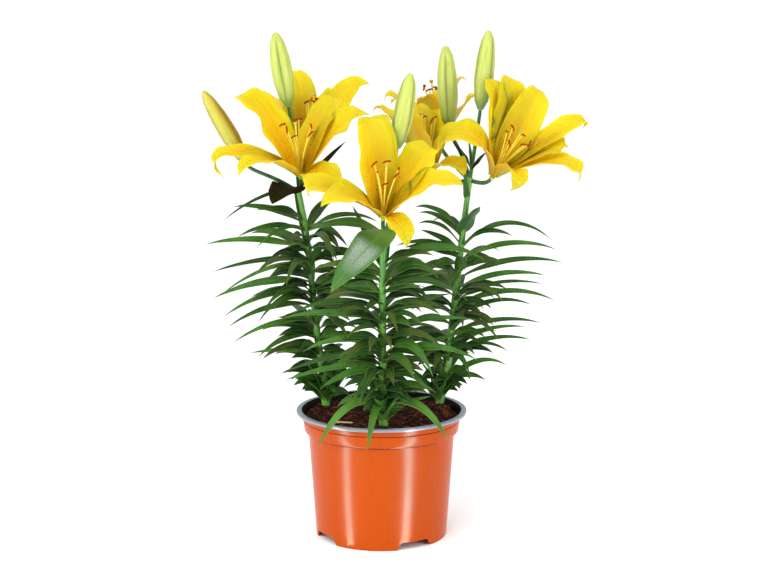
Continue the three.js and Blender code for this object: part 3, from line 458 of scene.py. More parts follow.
@dataclass(frozen=True)
class PetalFinish(BladeFinish):
    """Living petal: a soft golden skin, orange at the throat with brown freckles, and a ruddy back."""

    yellow: str = "#B89E12"
    lemon: str = "#B6A81A"
    throat: str = "#D2920E"
    vein: str = "#B6900A"
    freckle: str = "#B42C08"
    back: str = "#C0861C"
    back_rib: str = "#98A03C"
    tip: str = "#B4B62E"
    freckle_mm: float = 2.5
    vein_mm: float = 1.6

    def surface(self, add: Adder) -> dict:
        """Adds the petal's nodes.

        Args:
            add: The adder of the material's nodes.

        Returns:
            The shader's inputs.
        """
        along, side, grain, upper = self.ground(add)
        cloud = add(NOISE, {"Vector": grain, "Scale": 0.06, "Detail": 3.0})
        gold = add(MIX, {0: cloud, 6: self.yellow, 7: self.lemon}, COLOUR)
        # Veins run from the throat to the tip and fade towards the edge.
        squeeze = add(MAPPING, {"Vector": grain, "Scale": (1 / self.vein_mm, 0.03, 1.0)})
        veins = add(NOISE, {"Vector": squeeze, "Scale": 1.0, "Detail": 2.0})
        lines = add(RANGE, (veins, 0.5, 0.68, 0.0, 0.5), SMOOTH)
        fade = add(RANGE, (along, 0.2, 0.9, 1.0, 0.35))
        veined = add(MIX, {0: add(MATH, (lines, fade), TIMES), 6: gold, 7: self.vein}, COLOUR)
        # The throat's orange reaches far up the petal, less at its edges.
        low = add(RANGE, (along, 0.72, 0.08, 0.0, 0.68), SMOOTH)
        off_edge = add(RANGE, (side, 0.4, 0.95, 1.0, 0.45), SMOOTH)
        warm = add(MIX, {0: add(MATH, (low, off_edge), TIMES), 6: veined, 7: self.throat}, COLOUR)
        # Freckles lie in the lower half of the petal's face, off its edges.
        spots = add("ShaderNodeTexVoronoi", {"Vector": grain, "Scale": 1 / self.freckle_mm})
        dots = add(RANGE, (spots.outputs["Distance"], 0.31, 0.17, 0.0, 0.9), SMOOTH)
        zone = add(RANGE, (along, 0.45, 0.27, 0.0, 1.0), SMOOTH)
        inside = add(RANGE, (side, 0.8, 0.6, 0.0, 1.0), SMOOTH)
        dots = add(MATH, (dots, add(MATH, (zone, inside), TIMES)), TIMES)
        freckled = add(MIX, {0: dots, 6: warm, 7: self.freckle}, COLOUR)
        # The back is ruddy with a green rib, and the veins show through it.
        rib = add(RANGE, (side, 0.5, 0.05, 0.0, 1.0), SMOOTH)
        ruddy = add(MIX, {0: rib, 6: self.back, 7: self.back_rib}, COLOUR)
        lined = add(MIX, {0: 0.35, 6: ruddy, 7: veined}, COLOUR)
        under = add(RANGE, (upper, 0.05, -0.15, 0.0, 1.0), SMOOTH)
        turned = add(MIX, {0: under, 6: freckled, 7: lined}, COLOUR)
        tip = add(RANGE, (along, 0.92, 1.0, 0.0, 0.6), SMOOTH)
        tipped = add(MIX, {0: tip, 6: turned, 7: self.tip}, COLOUR)
        bump = add(BUMP, {"Height": veins, "Strength": 0.2, "Distance": 0.0005})
        # Low ridges run along the petal, two on each side of the midrib.
        wave = add(MATH, (add(MATH, (side, 14.0), TIMES),), {"operation": "SINE"})
        ridged = add(BUMP, {"Height": wave, "Strength": 0.2, "Distance": 0.0005, "Normal": bump})
        return {
            "Base Color": tipped, "Normal": ridged, "Specular IOR Level": 0.1,
            **self.depth(0.8, (0.006, 0.004, 0.0003)),
        }


@dataclass(frozen=True)
class BudFinish(Finish):
    """Closed bud: pale yellow-green skin streaked with lime, with a dark seam where the petals meet."""

    pale: str = "#B0B454"
    lime: str = "#8CA840"
    base: str = "#5F8636"
    seam: str = "#5E6A22"
    blush: str = "#C98A34"

    def surface(self, add: Adder) -> dict:
        """Adds the bud's nodes.

        Args:
            add: The adder of the material's nodes.

        Returns:
            The shader's inputs.
        """
        parts = add(SEPARATE, (add("ShaderNodeUVMap", (), {"uv_map": "UVMap"}),))
        grain = add(ATTRIBUTE, (), {"attribute_name": "grain"}).outputs["Vector"]
        squeeze = add(MAPPING, {"Vector": grain, "Scale": (0.35, 0.35, 0.045)})
        streak = add(NOISE, {"Vector": squeeze, "Scale": 1.0, "Detail": 3.0})
        share = add(RANGE, (streak, 0.35, 0.7, 0.0, 0.8))
        skin = add(MIX, {0: share, 6: self.pale, 7: self.lime}, COLOUR)
        foot = add(RANGE, (parts.outputs["Y"], 0.3, 0.0, 0.0, 0.9), SMOOTH)
        blush = add(ATTRIBUTE, (), {"attribute_name": "tone"}).outputs["Fac"]
        seam = add(ATTRIBUTE, (), {"attribute_name": "seam"}).outputs["Fac"]
        for share, colour in ((foot, self.base), (blush, self.blush), (seam, self.seam)):
            skin = add(MIX, {0: share, 6: skin, 7: colour}, COLOUR)
        bump = add(BUMP, {"Height": streak, "Strength": 0.3, "Distance": 0.0008})
        return {"Base Color": skin, "Normal": bump, **self.depth(0.15, (0.003, 0.003, 0.0008))}


@dataclass(frozen=True)
class MottledFinish(Finish):
    """A surface of two or three close colours in patches, with a grain that stands up a little."""

    colours: tuple[str, ...] = ("#000000", "#FFFFFF")
    patch_mm: float = 5.0
    stretch: Point = (1.0, 1.0, 1.0)
    relief_mm: float = 0.2
    soft: float = 0.0
    contrast: float = 0.2
    specular: float = 0.5

    def surface(self, add: Adder) -> dict:
        """Adds the surface's nodes.

        Args:
            add: The adder of the material's nodes.

        Returns:
            The shader's inputs.
        """
        size = tuple(k * 1000 / self.patch_mm for k in self.stretch)
        place = add(COORDINATES).outputs["Object"]
        scaled = add(MAPPING, {"Vector": place, "Scale": size})
        noise = add(NOISE, {"Vector": scaled, "Scale": 1.0, "Detail": 4.0})
        low, high = 0.5 - self.contrast, 0.5 + self.contrast
        last = len(self.colours) - 1
        stops = [(low + (high - low) * i / last, colour) for i, colour in enumerate(self.colours)]
        relief = {"Height": noise, "Strength": 0.6, "Distance": self.relief_mm * MM}
        return {
            "Base Color": add(RAMP, (noise,), {"stops": stops}), "Normal": add(BUMP, relief),
            "Specular IOR Level": self.specular,
            **(self.depth(self.soft, (0.002, 0.002, 0.001)) if self.soft else {}),
        }


@dataclass(frozen=True)
class MouldedFinish(Finish):
    """Moulded polypropylene: an even colour with a faint flow pattern, a soft satin gloss, and painted shadow
    in bands at its steps where given.
    """

    colour: str
    shade: str
    coat: float = 0.0
    specular: float = 0.5
    creases: tuple[Pair, ...] = ()
    crease: str = "#5A1C04"
    tint: str = "#FFFFFF"

    def surface(self, add: Adder) -> dict:
        """Adds the plastic's nodes.

        Args:
            add: The adder of the material's nodes.

        Returns:
            The shader's inputs.
        """
        place = add(COORDINATES).outputs["Object"]
        flow = add(MAPPING, {"Vector": place, "Scale": (60.0, 60.0, 9.0)})
        noise = add(NOISE, {"Vector": flow, "Scale": 1.0, "Detail": 2.0})
        colour = add(MIX, {0: noise, 6: self.colour, 7: self.shade}, COLOUR)
        # Painted shadow: dark bands where the steps in the mould cast shade; height and half width in
        # millimetres.
        height = add(SEPARATE, (place,)).outputs["Z"]
        for level, half in self.creases:
            away = add(MATH, (add(MATH, (height, level * MM), MINUS),), ABSOLUTE)
            share = add(RANGE, (away, half * 0.4 * MM, half * MM, 0.8, 0.0), SMOOTH)
            colour = add(MIX, {0: share, 6: colour, 7: self.crease}, COLOUR)
        fine = add(NOISE, {"Vector": place, "Scale": 900.0, "Detail": 2.0})
        bump = add(BUMP, {"Height": fine, "Strength": 0.06, "Distance": 0.0002})
        rough = add(RANGE, (noise, 0.3, 0.7, self.roughness * 0.9, self.roughness * 1.1))
        return {
            "Base Color": colour, "Roughness": rough, "Normal": bump, "IOR": 1.49,
            "Specular IOR Level": self.specular, "Specular Tint": self.tint,
            "Coat Weight": self.coat, "Coat Roughness": 0.12,
        }


@dataclass
class Blade:
    """A leaf or petal: a centre curve with a width, a fold, a cup and ruffled edges."""

    curve: Curve
    side: Vec
    width: Curve
    roll: float = 0.0
    fold: float = 0.0
    petal: bool = False
    wave: float = 0.0
    length: float = 100.0
    seed: float = 0.0
    tone: float = 0.5
    # A positive silver value gives the blade the painted sheen; a negative one makes it an old, olive-brown
    # leaf.
    silver: float = 0.0
    SAMPLE_STEP = 4.0
    PETAL_EDGE = 0.15
    LEAF_EDGE = 0.12

    def frames(self, s: Vec, e: float = 0.01) -> tuple[Vec, Vec, Vec, Vec]:
        """Gives the blade's frames.

        Args:
            s: Places along the blade, 0 to 1.
            e: Half the step of the tangents.

        Returns:
            Rows of points, tangents, sides and upper normals.
        """
        s = np.atleast_1d(np.asarray(s, float))
        t = unit(self.curve(np.minimum(1, s + e)) - self.curve(np.maximum(0, s - e)))
        b = unit(self.side - t * (t @ self.side)[:, None])
        n = np.cross(t, b)
        roll = self.roll * np.minimum(1, s * 2.5)
        c, d = np.cos(roll)[:, None], np.sin(roll)[:, None]
        return self.curve(s), t, b * c + n * d, n * c - b * d

    def cup(self, s: Vec) -> Vec:
        """Gives how deep a petal is cupped, most at its foot."""
        return 0.42 * (1 - s) + 0.06

    def ruffle(self, s: Vec, u: float) -> Vec:
        """Gives a petal's main edge wave on the side of u."""
        phase = self.wave + (1.7 if u > 0 else 0.0)
        return 0.15 * np.sin(s * 14 + phase) * np.clip(s * 2.5 - 0.5, 0, 1)

    def lift(self, s: Vec, u: float, half: Vec) -> Vec:
        """Gives the height of the blade's surface above its centre line.

        Args:
            s: Places along the blade.
            u: The place across it, -1 to 1.
            half: Half widths at s.

        Returns:
            The heights.
        """
        if not self.petal:
            return self.fold * half * abs(u) * (1 - 0.5 * s)
        return half * (self.cup(s) * u * u + self.ruffle(s, u) * u * u)

    def section(self, s: Vec) -> dict[str, Vec]:
        """Gives the fine form of the blade's sections, with what the solids leave out.

        Args:
            s: Places along the blade.

        Returns:
            Half width in metres, fold, cup, the waves of both edges, and the share of the thickness.
        """
        flat = np.zeros_like(s)
        if self.petal:
            frill = 0.1 * np.clip(s * 3 - 0.8, 0, 1) * np.clip((1 - s) * 6, 0, 1)
            left = self.ruffle(s, -1) + frill * np.sin(s * 27 + self.wave * 3)
            right = self.ruffle(s, 1) + frill * np.sin(s * 24 + self.wave * 5 + 1)
            fold, cup, thinnest, edge, taper = flat, self.cup(s), 0.25, self.PETAL_EDGE, 6
        else:
            ripple = 0.1 * np.clip(s * 4, 0, 1) * np.clip((1 - s) * 3, 0, 1)
            left = ripple * np.sin(s * 14 + self.seed * 2.1)
            right = ripple * np.sin(s * 12 + self.seed * 3.7 + 1)
            fold, cup, thinnest, edge, taper = self.fold * (1 - 0.5 * s), flat, 0.2, self.LEAF_EDGE, 5
        half = np.maximum(self.width(s) / 2, edge) * MM
        plump = np.clip((1 - s) * taper, thinnest, 1)
        return {"half": half, "fold": fold, "cup": cup, "left": left, "right": right, "plump": plump}

    def samples(self, length: float, skip: float) -> Vec:
        """Gives points all over the blade, for keeping leaves apart.

        Args:
            length: The blade's length for the spacing.
            skip: The length at the root that is left out.

        Returns:
            Rows of points.
        """
        n = max(6, math.ceil(length / self.SAMPLE_STEP))
        s = np.arange(n + 1) / n
        s = s[s * length >= skip]
        p, _, b, up = self.frames(s)
        width = self.width(s)
        half = width / 2
        rows = []
        for k in range(len(s)):
            across = max(1, math.ceil(width[k] / self.SAMPLE_STEP / 2))
            for j in range(-across, across + 1):
                u = j / across
                high = self.lift(s[k : k + 1], u, half[k : k + 1])[0]
                rows.append(p[k] + b[k] * (u * half[k]) + up[k] * high)
        return np.array(rows)


def leaf_width(w: float, broad: bool, taper: float = 2.3) -> Curve:
    """Makes the width of a leaf: it clasps the stem, widens, and runs out to a fine tip.

    Args:
        w: Its greatest width.
        broad: Whether it is an oval leaf, as those under the flowers are.
        taper: How late it narrows.

    Returns:
        A function from rows of s to widths.
    """

    def at(s: Vec) -> Vec:
        """Gives the widths at each s."""
        s = np.asarray(s, float)
        if broad:
            q = s**0.64
            return w * np.clip(4 * q * (1 - q), 0, 1) ** 0.85 + 9 * (1 - s)
        return w * np.minimum(1, 0.42 + 1.9 * s) * (1 - s**taper)

    return at


def baked(name: str, carrier: Mesh, tree: NodeTree, values: dict) -> Mesh:
    """Runs a node tree on a mesh and keeps what comes out.

    Args:
        name: The new mesh's name.
        carrier: The mesh that the tree starts from.
        tree: The tree.
        values: Input name to value.

    Returns:
        A plain mesh, with its faces pointing out.
    """
    holder = placed(name + "_carrier", carrier)
    modifier = holder.modifiers.new("shape", "NODES")
    modifier.node_group = tree
    for item in tree.interface.items_tree:
        if item.item_type == "SOCKET" and item.in_out == "INPUT" and item.name in values:
            modifier[item.identifier] = values[item.name]
    graph = bpy.context.evaluated_depsgraph_get()
    mesh = bpy.data.meshes.new_from_object(
        holder.evaluated_get(graph), preserve_all_data_layers=True, depsgraph=graph
    )
    mesh.name = name
    holder.modifiers.clear()
    bpy.data.objects.remove(holder)
    bpy.data.meshes.remove(carrier)
    face_out(mesh)
    return mesh


def carrier_of(name: str, lines: list[Vec], values: dict[str, Vec]) -> Mesh:
    """Makes a mesh of open lines whose points carry values for a node tree.

    Args:
        name: The mesh's name.
        lines: Each line's points, in millimetres.
        values: Name to one number or one vector for each point of all lines.

    Returns:
        The mesh.
    """
    edges = []
    first = 0
    for line in lines:
        edges += [(first + k, first + k + 1) for k in range(len(line) - 1)]
        first += len(line)
    mesh = new_mesh(name, np.concatenate(lines), edges, [])
    for key, rows in values.items():
        store(mesh, key, rows)
    return mesh


class Sweeper:
    """Turns lists of blades or rods into meshes through two node trees."""

    STATION_VALUES = ("half", "fold", "cup", "left", "right", "plump", "along", "run", "seed", "u", "v")
    STATION_VECTORS = ("spine", "side", "rise")
    KEPT = ("along", "run", "seed")
    FOLD_ROUNDING = 0.012

    def __init__(self) -> None:
        """Builds both trees once."""
        self.blades = self.blade_tree()
        self.rods = self.rod_tree()

    def blade_tree(self) -> NodeTree:
        """Builds the tree that sweeps leaves and petals: a folded, cupped skin along each line.

        Returns:
            The tree.
        """
        tree, add, given = new_shape_tree("blade sweep", {
            "Ring": ("Int", 14), "Thickness": ("Float", 0.0009), "Midrib Depth": ("Float", 0.0004),
            "Midrib Width": ("Float", 0.12),
        })
        spines = add(TO_CURVE, (given.outputs["Geometry"],))
        ring = add("GeometryNodeMeshCircle", {"Vertices": given.outputs["Ring"]})
        marked = add(TO_CURVE, (ring,))
        where = add(SEPARATE, (add("GeometryNodeInputPosition"),))
        on_point = {"data_type": "FLOAT", "domain": "POINT"}
        for name, axis in (("u", "X"), ("v", "Y")):
            marked = add(STORE, {"Geometry": marked, "Name": name, "Value": where.outputs[axis]}, on_point)
        swept = add(SWEEP, {"Curve": spines, "Profile Curve": marked, "Fill Caps": True})
        read = {
            name: add(NAMED, {"Name": name}, {"data_type": kind})
            for names, kind in ((self.STATION_VECTORS, "FLOAT_VECTOR"), (self.STATION_VALUES, "FLOAT"))
            for name in names
        }
        # A rounded fold: the square root of u squared and a little more.
        square = add(MATH, (read["u"], read["u"]), TIMES)
        root = add(MATH, (add(MATH, (square, self.FOLD_ROUNDING), PLUS),), {"operation": "SQRT"})
        folded = add(MATH, (root, read["fold"]), TIMES)
        on_right = add(MATH, (read["u"], 0.0), {"operation": "GREATER_THAN"})
        edge = add(MIX, {0: on_right, 2: read["left"], 3: read["right"]}, {"data_type": "FLOAT"})
        bowed = add(MATH, (add(MATH, (read["cup"], edge), PLUS), square), TIMES)
        high = add(MATH, (add(MATH, (folded, bowed), PLUS), read["half"]), TIMES)
        # The groove over the midrib is a bell across the blade.
        ratio = add(MATH, (read["u"], given.outputs["Midrib Width"]), {"operation": "DIVIDE"})
        minus = add(MATH, (add(MATH, (ratio, ratio), TIMES), -1.0), TIMES)
        bell = add(MATH, (minus,), {"operation": "EXPONENT"})
        sunk = add(MATH, (bell, given.outputs["Midrib Depth"]), TIMES)
        surface = add(MATH, (high, add(MATH, (sunk, read["plump"]), TIMES)), MINUS)
        thick = add(MATH, (given.outputs["Thickness"], read["plump"]), TIMES)
        skin = add(MATH, (add(MATH, (thick, 0.5), TIMES), read["v"]), TIMES)
        total = add(MATH, (surface, skin), PLUS)
        reach = add(MATH, (read["u"], read["half"]), TIMES)
        out = add(VECTOR_MATH, {0: read["side"], "Scale": reach}, SCALE)
        up = add(VECTOR_MATH, {0: read["rise"], "Scale": total}, SCALE)
        final = add(VECTOR_MATH, (add(VECTOR_MATH, (read["spine"], out), PLUS), up), PLUS)
        shape = add(SET_POSITION, {"Geometry": swept, "Position": final})
        across = add(RANGE, (read["u"], -1.0, 1.0, 0.0, 1.0))
        # The grain vector is in millimetres: across, along, and a number for each blade.
        reach_mm = add(MATH, (reach, 1000.0), TIMES)
        for name, kind, domain, value in (
            ("UVMap", "FLOAT2", "CORNER", add(COMBINE, {"X": across, "Y": read["along"]})),
            ("upper", "FLOAT", "POINT", read["v"]),
            ("grain", "FLOAT_VECTOR", "POINT", add(COMBINE, (reach_mm, read["run"], read["seed"]))),
        ):
            settings = {"data_type": kind, "domain": domain}
            shape = add(STORE, {"Geometry": shape, "Name": name, "Value": value}, settings)
        for name in self.STATION_VECTORS + self.STATION_VALUES:
            if name not in self.KEPT:
                shape = add("GeometryNodeRemoveAttribute", {"Geometry": shape, "Name": name})
        end_shape_tree(add, given, add(SMOOTH_FACES, {"Geometry": shape}))
        return tree

    def rod_tree(self) -> NodeTree:
        """Builds the tree for stems, stalks and filaments: a round section along each line.

        Returns:
            The tree.
        """
        tree, add, given = new_shape_tree("rod sweep", {"Sides": ("Int", None)})
        lines = add(TO_CURVE, (given.outputs["Geometry"],))
        radius = add(NAMED, {"Name": "size"}, {"data_type": "FLOAT"})
        sized = add("GeometryNodeSetCurveRadius", {"Curve": lines, "Radius": radius})
        sides = {"Resolution": given.outputs["Sides"], "Radius": 1.0}
        ring = add("GeometryNodeCurvePrimitiveCircle", sides)
        swept = add(SWEEP, {"Curve": sized, "Profile Curve": ring, "Fill Caps": True})
        # The radius is also given as a scale, which newer sweeps read instead.
        if "Scale" in swept.inputs:
            tree.links.new(radius.outputs[0], swept.inputs["Scale"])
        end_shape_tree(add, given, add(SMOOTH_FACES, {"Geometry": swept}))
        return tree

    def blade_mesh(
        self, name: str, blades: list[Blade], material: Material, stations: int, ring: int,
        thick: float, rib: float,
    ) -> Mesh:
        """Sweeps blades into one mesh.

        Args:
            name: The mesh's name.
            blades: The blades, in millimetres.
            material: Their material.
            stations: Sections along each blade.
            ring: Points round each section.
            thick: Thickness, in millimetres.
            rib: Depth of the groove over the midrib, in millimetres.

        Returns:
            The mesh, in metres.
        """
        lines, rows = [], []
        for blade in blades:
            s = (np.arange(stations + 1) / stations) ** (0.9 if blade.petal else 1.0)
            p, _, b, n = blade.frames(s, 0.03)
            lines.append(p)
            rows.append({
                "spine": p * MM, "side": b, "rise": n, "along": s, "run": s * blade.length,
                "seed": np.full_like(s, blade.seed * 37.0), "tone": np.full_like(s, blade.tone),
                "silver": np.full_like(s, blade.silver), **blade.section(s),
            })
        values = {key: np.concatenate([row[key] for row in rows]) for key in rows[0]}
        sizes = {"Ring": ring, "Thickness": thick * MM, "Midrib Depth": rib * MM, "Material": material}
        return baked(name, carrier_of(name, lines, values), self.blades, sizes)

    def rod_mesh(self, name: str, rods: list[tuple[Vec, Vec]], material: Material, sides: int) -> Mesh:
        """Sweeps rods into one mesh.

        Args:
            name: The mesh's name.
            rods: Each rod's points and radii, in millimetres.
            material: Their material.
            sides: Points round each rod.

        Returns:
            The mesh, in metres.
        """
        sizes = np.concatenate([np.asarray(radii, float) for _, radii in rods]) * MM
        carrier = carrier_of(name, [points for points, _ in rods], {"size": sizes})
        return baked(name, carrier, self.rods, {"Sides": sides, "Material": material})


class Room:
    """The space that leaves, petals and stalks already take up."""

    def __init__(self, cell: float) -> None:
        """Starts an empty room.

        Args:
            cell: The size of its cells, in millimetres.
        """
        self.cell = cell
        self.rows: list[Vec] = []
        self.owners: list[str] = []
        self.grow: list[float] = []
        self.cache: tuple | None = None

    def put(self, points: Vec, owner: str, grow: float = 0.0) -> None:
        """Fills in a piece.

        Args:
            points: Its sample points.
            owner: Its name.
            grow: How far it reaches beyond them.
        """
        self.rows.append(points)
        self.owners += [owner] * len(points)
        self.grow += [grow] * len(points)
        self.cache = None

    def blocked(self, points: Vec, owner: str, other: float, own: float) -> bool:
        """Tests whether a piece comes too close to what is there.

        Args:
            points: Its sample points.
            owner: The plant that it grows on.
            other: The distance kept from other pieces.
            own: The distance kept from its own plant.

        Returns:
            True where it is too close.
        """
        if self.cache is None:
            self.cache = (np.concatenate(self.rows), np.array(self.owners), np.array(self.grow))
        taken, owners, grow = self.cache
        reach = 2 * self.cell
        near = np.all((taken > points.min(0) - reach) & (taken < points.max(0) + reach), axis=1)
        taken, grow = taken[near], grow[near]
        limit = np.where(owners[near] == owner, own, other) + grow
        far = np.linalg.norm(points[:, None, :] - taken[None, :, :], axis=2)
        hits = np.argwhere(far < limit[None, :])
        if not len(hits):
            return False
        mine = np.floor(points[hits[:, 0]] / self.cell)
        theirs = np.floor(taken[hits[:, 1]] / self.cell)
        return bool(np.any(np.all(np.abs(mine - theirs) <= 1, axis=1)))


def rod_samples(points: Vec) -> Vec:
    """Gives points along a line of points, a few millimetres apart.

    Args:
        points: The line.

    Returns:
        Rows of points.
    """
    rows = []
    for a, b in zip(points[:-1], points[1:]):
        n = max(1, math.ceil(float(np.linalg.norm(b - a)) / Blade.SAMPLE_STEP))
        rows += [a * (1 - j / n) + b * (j / n) for j in range(n + 1)]
    return np.array(rows)


def in_the_way(points: Vec) -> bool:
    """Tests whether a leaf dips into the peat or the lip, or passes before the broad open leaf.

    Args:
        points: Rows of its points.

    Returns:
        Whether it does.
    """
    x, y, z = points.T
    r = np.hypot(x, y)
    hidden = (y < -60) & (x > -46) & (x < 12) & (z > 262) & (z < 322)
    return bool(np.any((r < 78) & (z < 127.6) | (r >= 78) & (r < 88) & (z < 130.5) | hidden))


class PotFace(Enum):
    """The pot's surfaces, in the order of its material slots."""

    OUTSIDE = 0
    LIP = 1
    INSIDE = 2


@dataclass
class Pot:
    """The grower's pot: feet between arches, a tapering body, a stepped collar and a flat lip."""

    foot_radius: float = 65.3
    body_top: Pair = (72.9, 105.4)
    floor_z: float = 10.0
    floor_thick: float = 2.0
    wall: float = 1.6
    hub_radius: float = 9.0
    segments: int = 168
    arch_count: int = 4
    arch_first_deg: float = -59.5
    arch_height: float = 7.6
    arch_half_top: float = 15.0
    arch_half_foot: float = 19.2
    drain_radius: float = 5.0
    drain_ring: float = 42.0
    drain_count: int = 5
    drain_sides: int = 24
    notch_x: float = -16.0
    notch_width: float = 6.0
    notch_height: float = 1.4
    sharp_deg: float = 38.0
    # The outside's dark bands at 118.3, 105.5 and 124.1 mm are painted shadow under the collar's steps.
    outside: MouldedFinish = MouldedFinish(
        "orange polypropylene", 0.26, "#AE4502", "#A63F02", 0.0, 0.12,
        ((118.3, 0.5), (105.5, 0.9), (124.1, 0.4)), tint="#89FFFA",
    )
    lip: MouldedFinish = MouldedFinish("grey polypropylene lip", 0.3, "#7E868F", "#747C86", 0.2)
    inside: MouldedFinish = MouldedFinish("black polypropylene", 0.6, "#060606", "#0A0A0B", 0.0, 0.1)

    def wall_radius(self, z: float) -> float:
        """Gives the outer radius of the tapering body at a height."""
        return mix(self.foot_radius, self.body_top[0], z / self.body_top[1])

    def profile(self) -> list[tuple[float, float, PotFace]]:
        """Lists the wall's section, from the hub outwards, over the lip and back in.

        Returns:
            Radius, height and the surface that starts there.
        """
        foot, hub, low = self.foot_radius, self.hub_radius, self.floor_z
        floor = low + self.floor_thick
        outside = [
            (0.0, 0.0), (hub - 0.5, 0.0), (hub, 0.5), (hub, low), (self.wall_radius(low) - self.wall, low),
            (foot - self.wall + 0.2, 0.3), (foot - self.wall + 0.6, 0.0), (foot - 0.5, 0.0),
            *((self.wall_radius(z), z) for z in (0.5, 3, 8.5, 12, 30, 50, 70, 90, 104.6)),
            (73.05, 105.5), (73.6, 105.95), (75.4, 106.35), (76.5, 106.9), (77.0, 107.8), (77.7, 112.8),
            (78.3, 117.4), (78.3, 117.9), (77.9, 118.2), (77.9, 118.6), (78.5, 118.9), (78.75, 119.5),
            (79.2, 123.2),
        ]
        lip = [
            (79.4, 123.9), (79.9, 124.15), (84.3, 124.7), (84.8, 124.95), (85.0, 125.4), (84.9, 126.7),
            (84.7, 127.2), (84.2, 127.42), (80.4, 127.56),
        ]
        inside = [
            (79.6, 127.5), (79.1, 127.1), (76.9, 118.4), (76.7, 117.6), (75.4, 108.2), (74.9, 107.3),
            (71.2, 106.0), (self.wall_radius(floor) - self.wall, floor), (0.0, floor),
        ]
        parts = ((PotFace.OUTSIDE, outside), (PotFace.LIP, lip), (PotFace.INSIDE, inside))
        return [(r, z, face) for face, rows in parts for r, z in rows]

    @staticmethod
    def mesh_of(shape: bmesh.types.BMesh, name: str) -> Mesh:
        """Turns worked faces into a mesh and frees them.

        Args:
            shape: The faces.
            name: The mesh's name.

        Returns:
            The mesh.
        """
        bmesh.ops.recalc_face_normals(shape, faces=shape.faces)
        mesh = bpy.data.meshes.new(name)
        shape.to_mesh(mesh)
        shape.free()
        return mesh

    def lathe(self) -> Mesh:
        """Turns the section round the axis.

        Returns:
            The whole pot before its arches and drains are cut.
        """
        rows = self.profile()
        shape = bmesh.new()
        turns = [2 * math.pi * k / self.segments for k in range(self.segments)]
        rings = []
        for r, z, _ in rows:
            around = turns if r else turns[:1]
            points = [(r * MM * math.cos(a), r * MM * math.sin(a), z * MM) for a in around]
            rings.append([shape.verts.new(point) for point in points])
        for (low, high), (_, _, kind) in zip(zip(rings[:-1], rings[1:]), rows[:-1]):
            for k in range(self.segments):
                j = (k + 1) % self.segments
                corners = [low[k % len(low)], low[j % len(low)], high[j % len(high)], high[k % len(high)]]
                shape.faces.new(list(dict.fromkeys(corners))).material_index = kind.value
        return self.mesh_of(shape, "pot_wall")

    def cutters(self) -> Mesh:
        """Makes the solids that open the foot arches, the drains and the mould notch.

        Returns:
            One mesh of separate closed solids.
        """
        shape = bmesh.new()

        def prism(outline: list[Pair], y0: float, y1: float, turn: Matrix) -> None:
            """Adds a prism of an outline in X and Z, between two places along Y.

            Args:
                outline: Its corners.
                y0: Its first end.
                y1: Its last end.
                turn: How it is turned.
            """
            ends = [
                [shape.verts.new(turn @ Vector((x * MM, y * MM, z * MM))) for x, z in outline]
                for y in (y0, y1)
            ]
            shape.faces.new(ends[0])
            shape.faces.new(list(reversed(ends[1])))
            for k in range(len(outline)):
                j = (k + 1) % len(outline)
                shape.faces.new([ends[0][j], ends[0][k], ends[1][k], ends[1][j]])

        foot, top, high, out = self.arch_half_foot, self.arch_half_top, self.arch_height, self.foot_radius
        arch = [(-foot - 1, -1), (foot + 1, -1), (foot, 0)]
        bend = [(top + 0.5, high - 1.6), (top - 0.2, high - 0.4), (top - 1.4, high)]
        arch += bend + [(-x, z) for x, z in reversed(bend)] + [(-foot, 0)]
        for k in range(self.arch_count):
            angle = math.radians(self.arch_first_deg + k * 360 / self.arch_count)
            prism(arch, -out - 7.5, -out + 8.5, Matrix.Rotation(angle, 4, "Z"))
        left, right = self.notch_x - self.notch_width / 2, self.notch_x + self.notch_width / 2
        top = self.notch_height
        notch = [(left, -1.0), (right, -1.0), (right - 0.4, top), (left + 0.4, top)]
        prism(notch, -out - 3, -out + 9, Matrix.Identity(4))
        drain = self.drain_radius * MM
        for k in range(self.drain_count):
            a = 2 * math.pi * (k + 0.5) / self.drain_count
            x, y = self.drain_ring * math.cos(a), self.drain_ring * math.sin(a)
            bmesh.ops.create_cone(
                shape, cap_ends=True, segments=self.drain_sides, radius1=drain, radius2=drain,
                depth=4 * self.floor_thick * MM,
                matrix=Matrix.Translation((x * MM, y * MM, (self.floor_z + 1) * MM)),
            )
        for face in shape.faces:
            face.material_index = PotFace.OUTSIDE.value
        return self.mesh_of(shape, "pot_cutters")

    def build(self) -> Object:
        """Builds and dresses the pot.

        Returns:
            The pot's piece.
        """
        wall = placed("pot_blank", self.lathe())
        tool = placed("pot_tool", self.cutters())
        for finish in (self.outside.build(), self.lip.build(), self.inside.build()):
            for part in (wall, tool):
                part.data.materials.append(finish)
        cut = wall.modifiers.new("cut", "BOOLEAN")
        cut.operation, cut.solver, cut.object = "DIFFERENCE", "EXACT", tool
        graph = bpy.context.evaluated_depsgraph_get()
        mesh = bpy.data.meshes.new_from_object(wall.evaluated_get(graph), depsgraph=graph)
        for part in (wall, tool):
            old = part.data
            bpy.data.objects.remove(part)
            bpy.data.meshes.remove(old)
        mesh.name = "grower_pot"
        face_out(mesh)
        shaded(mesh, self.sharp_deg)
        return piece_of("grower_pot", mesh, "pot", "pot")


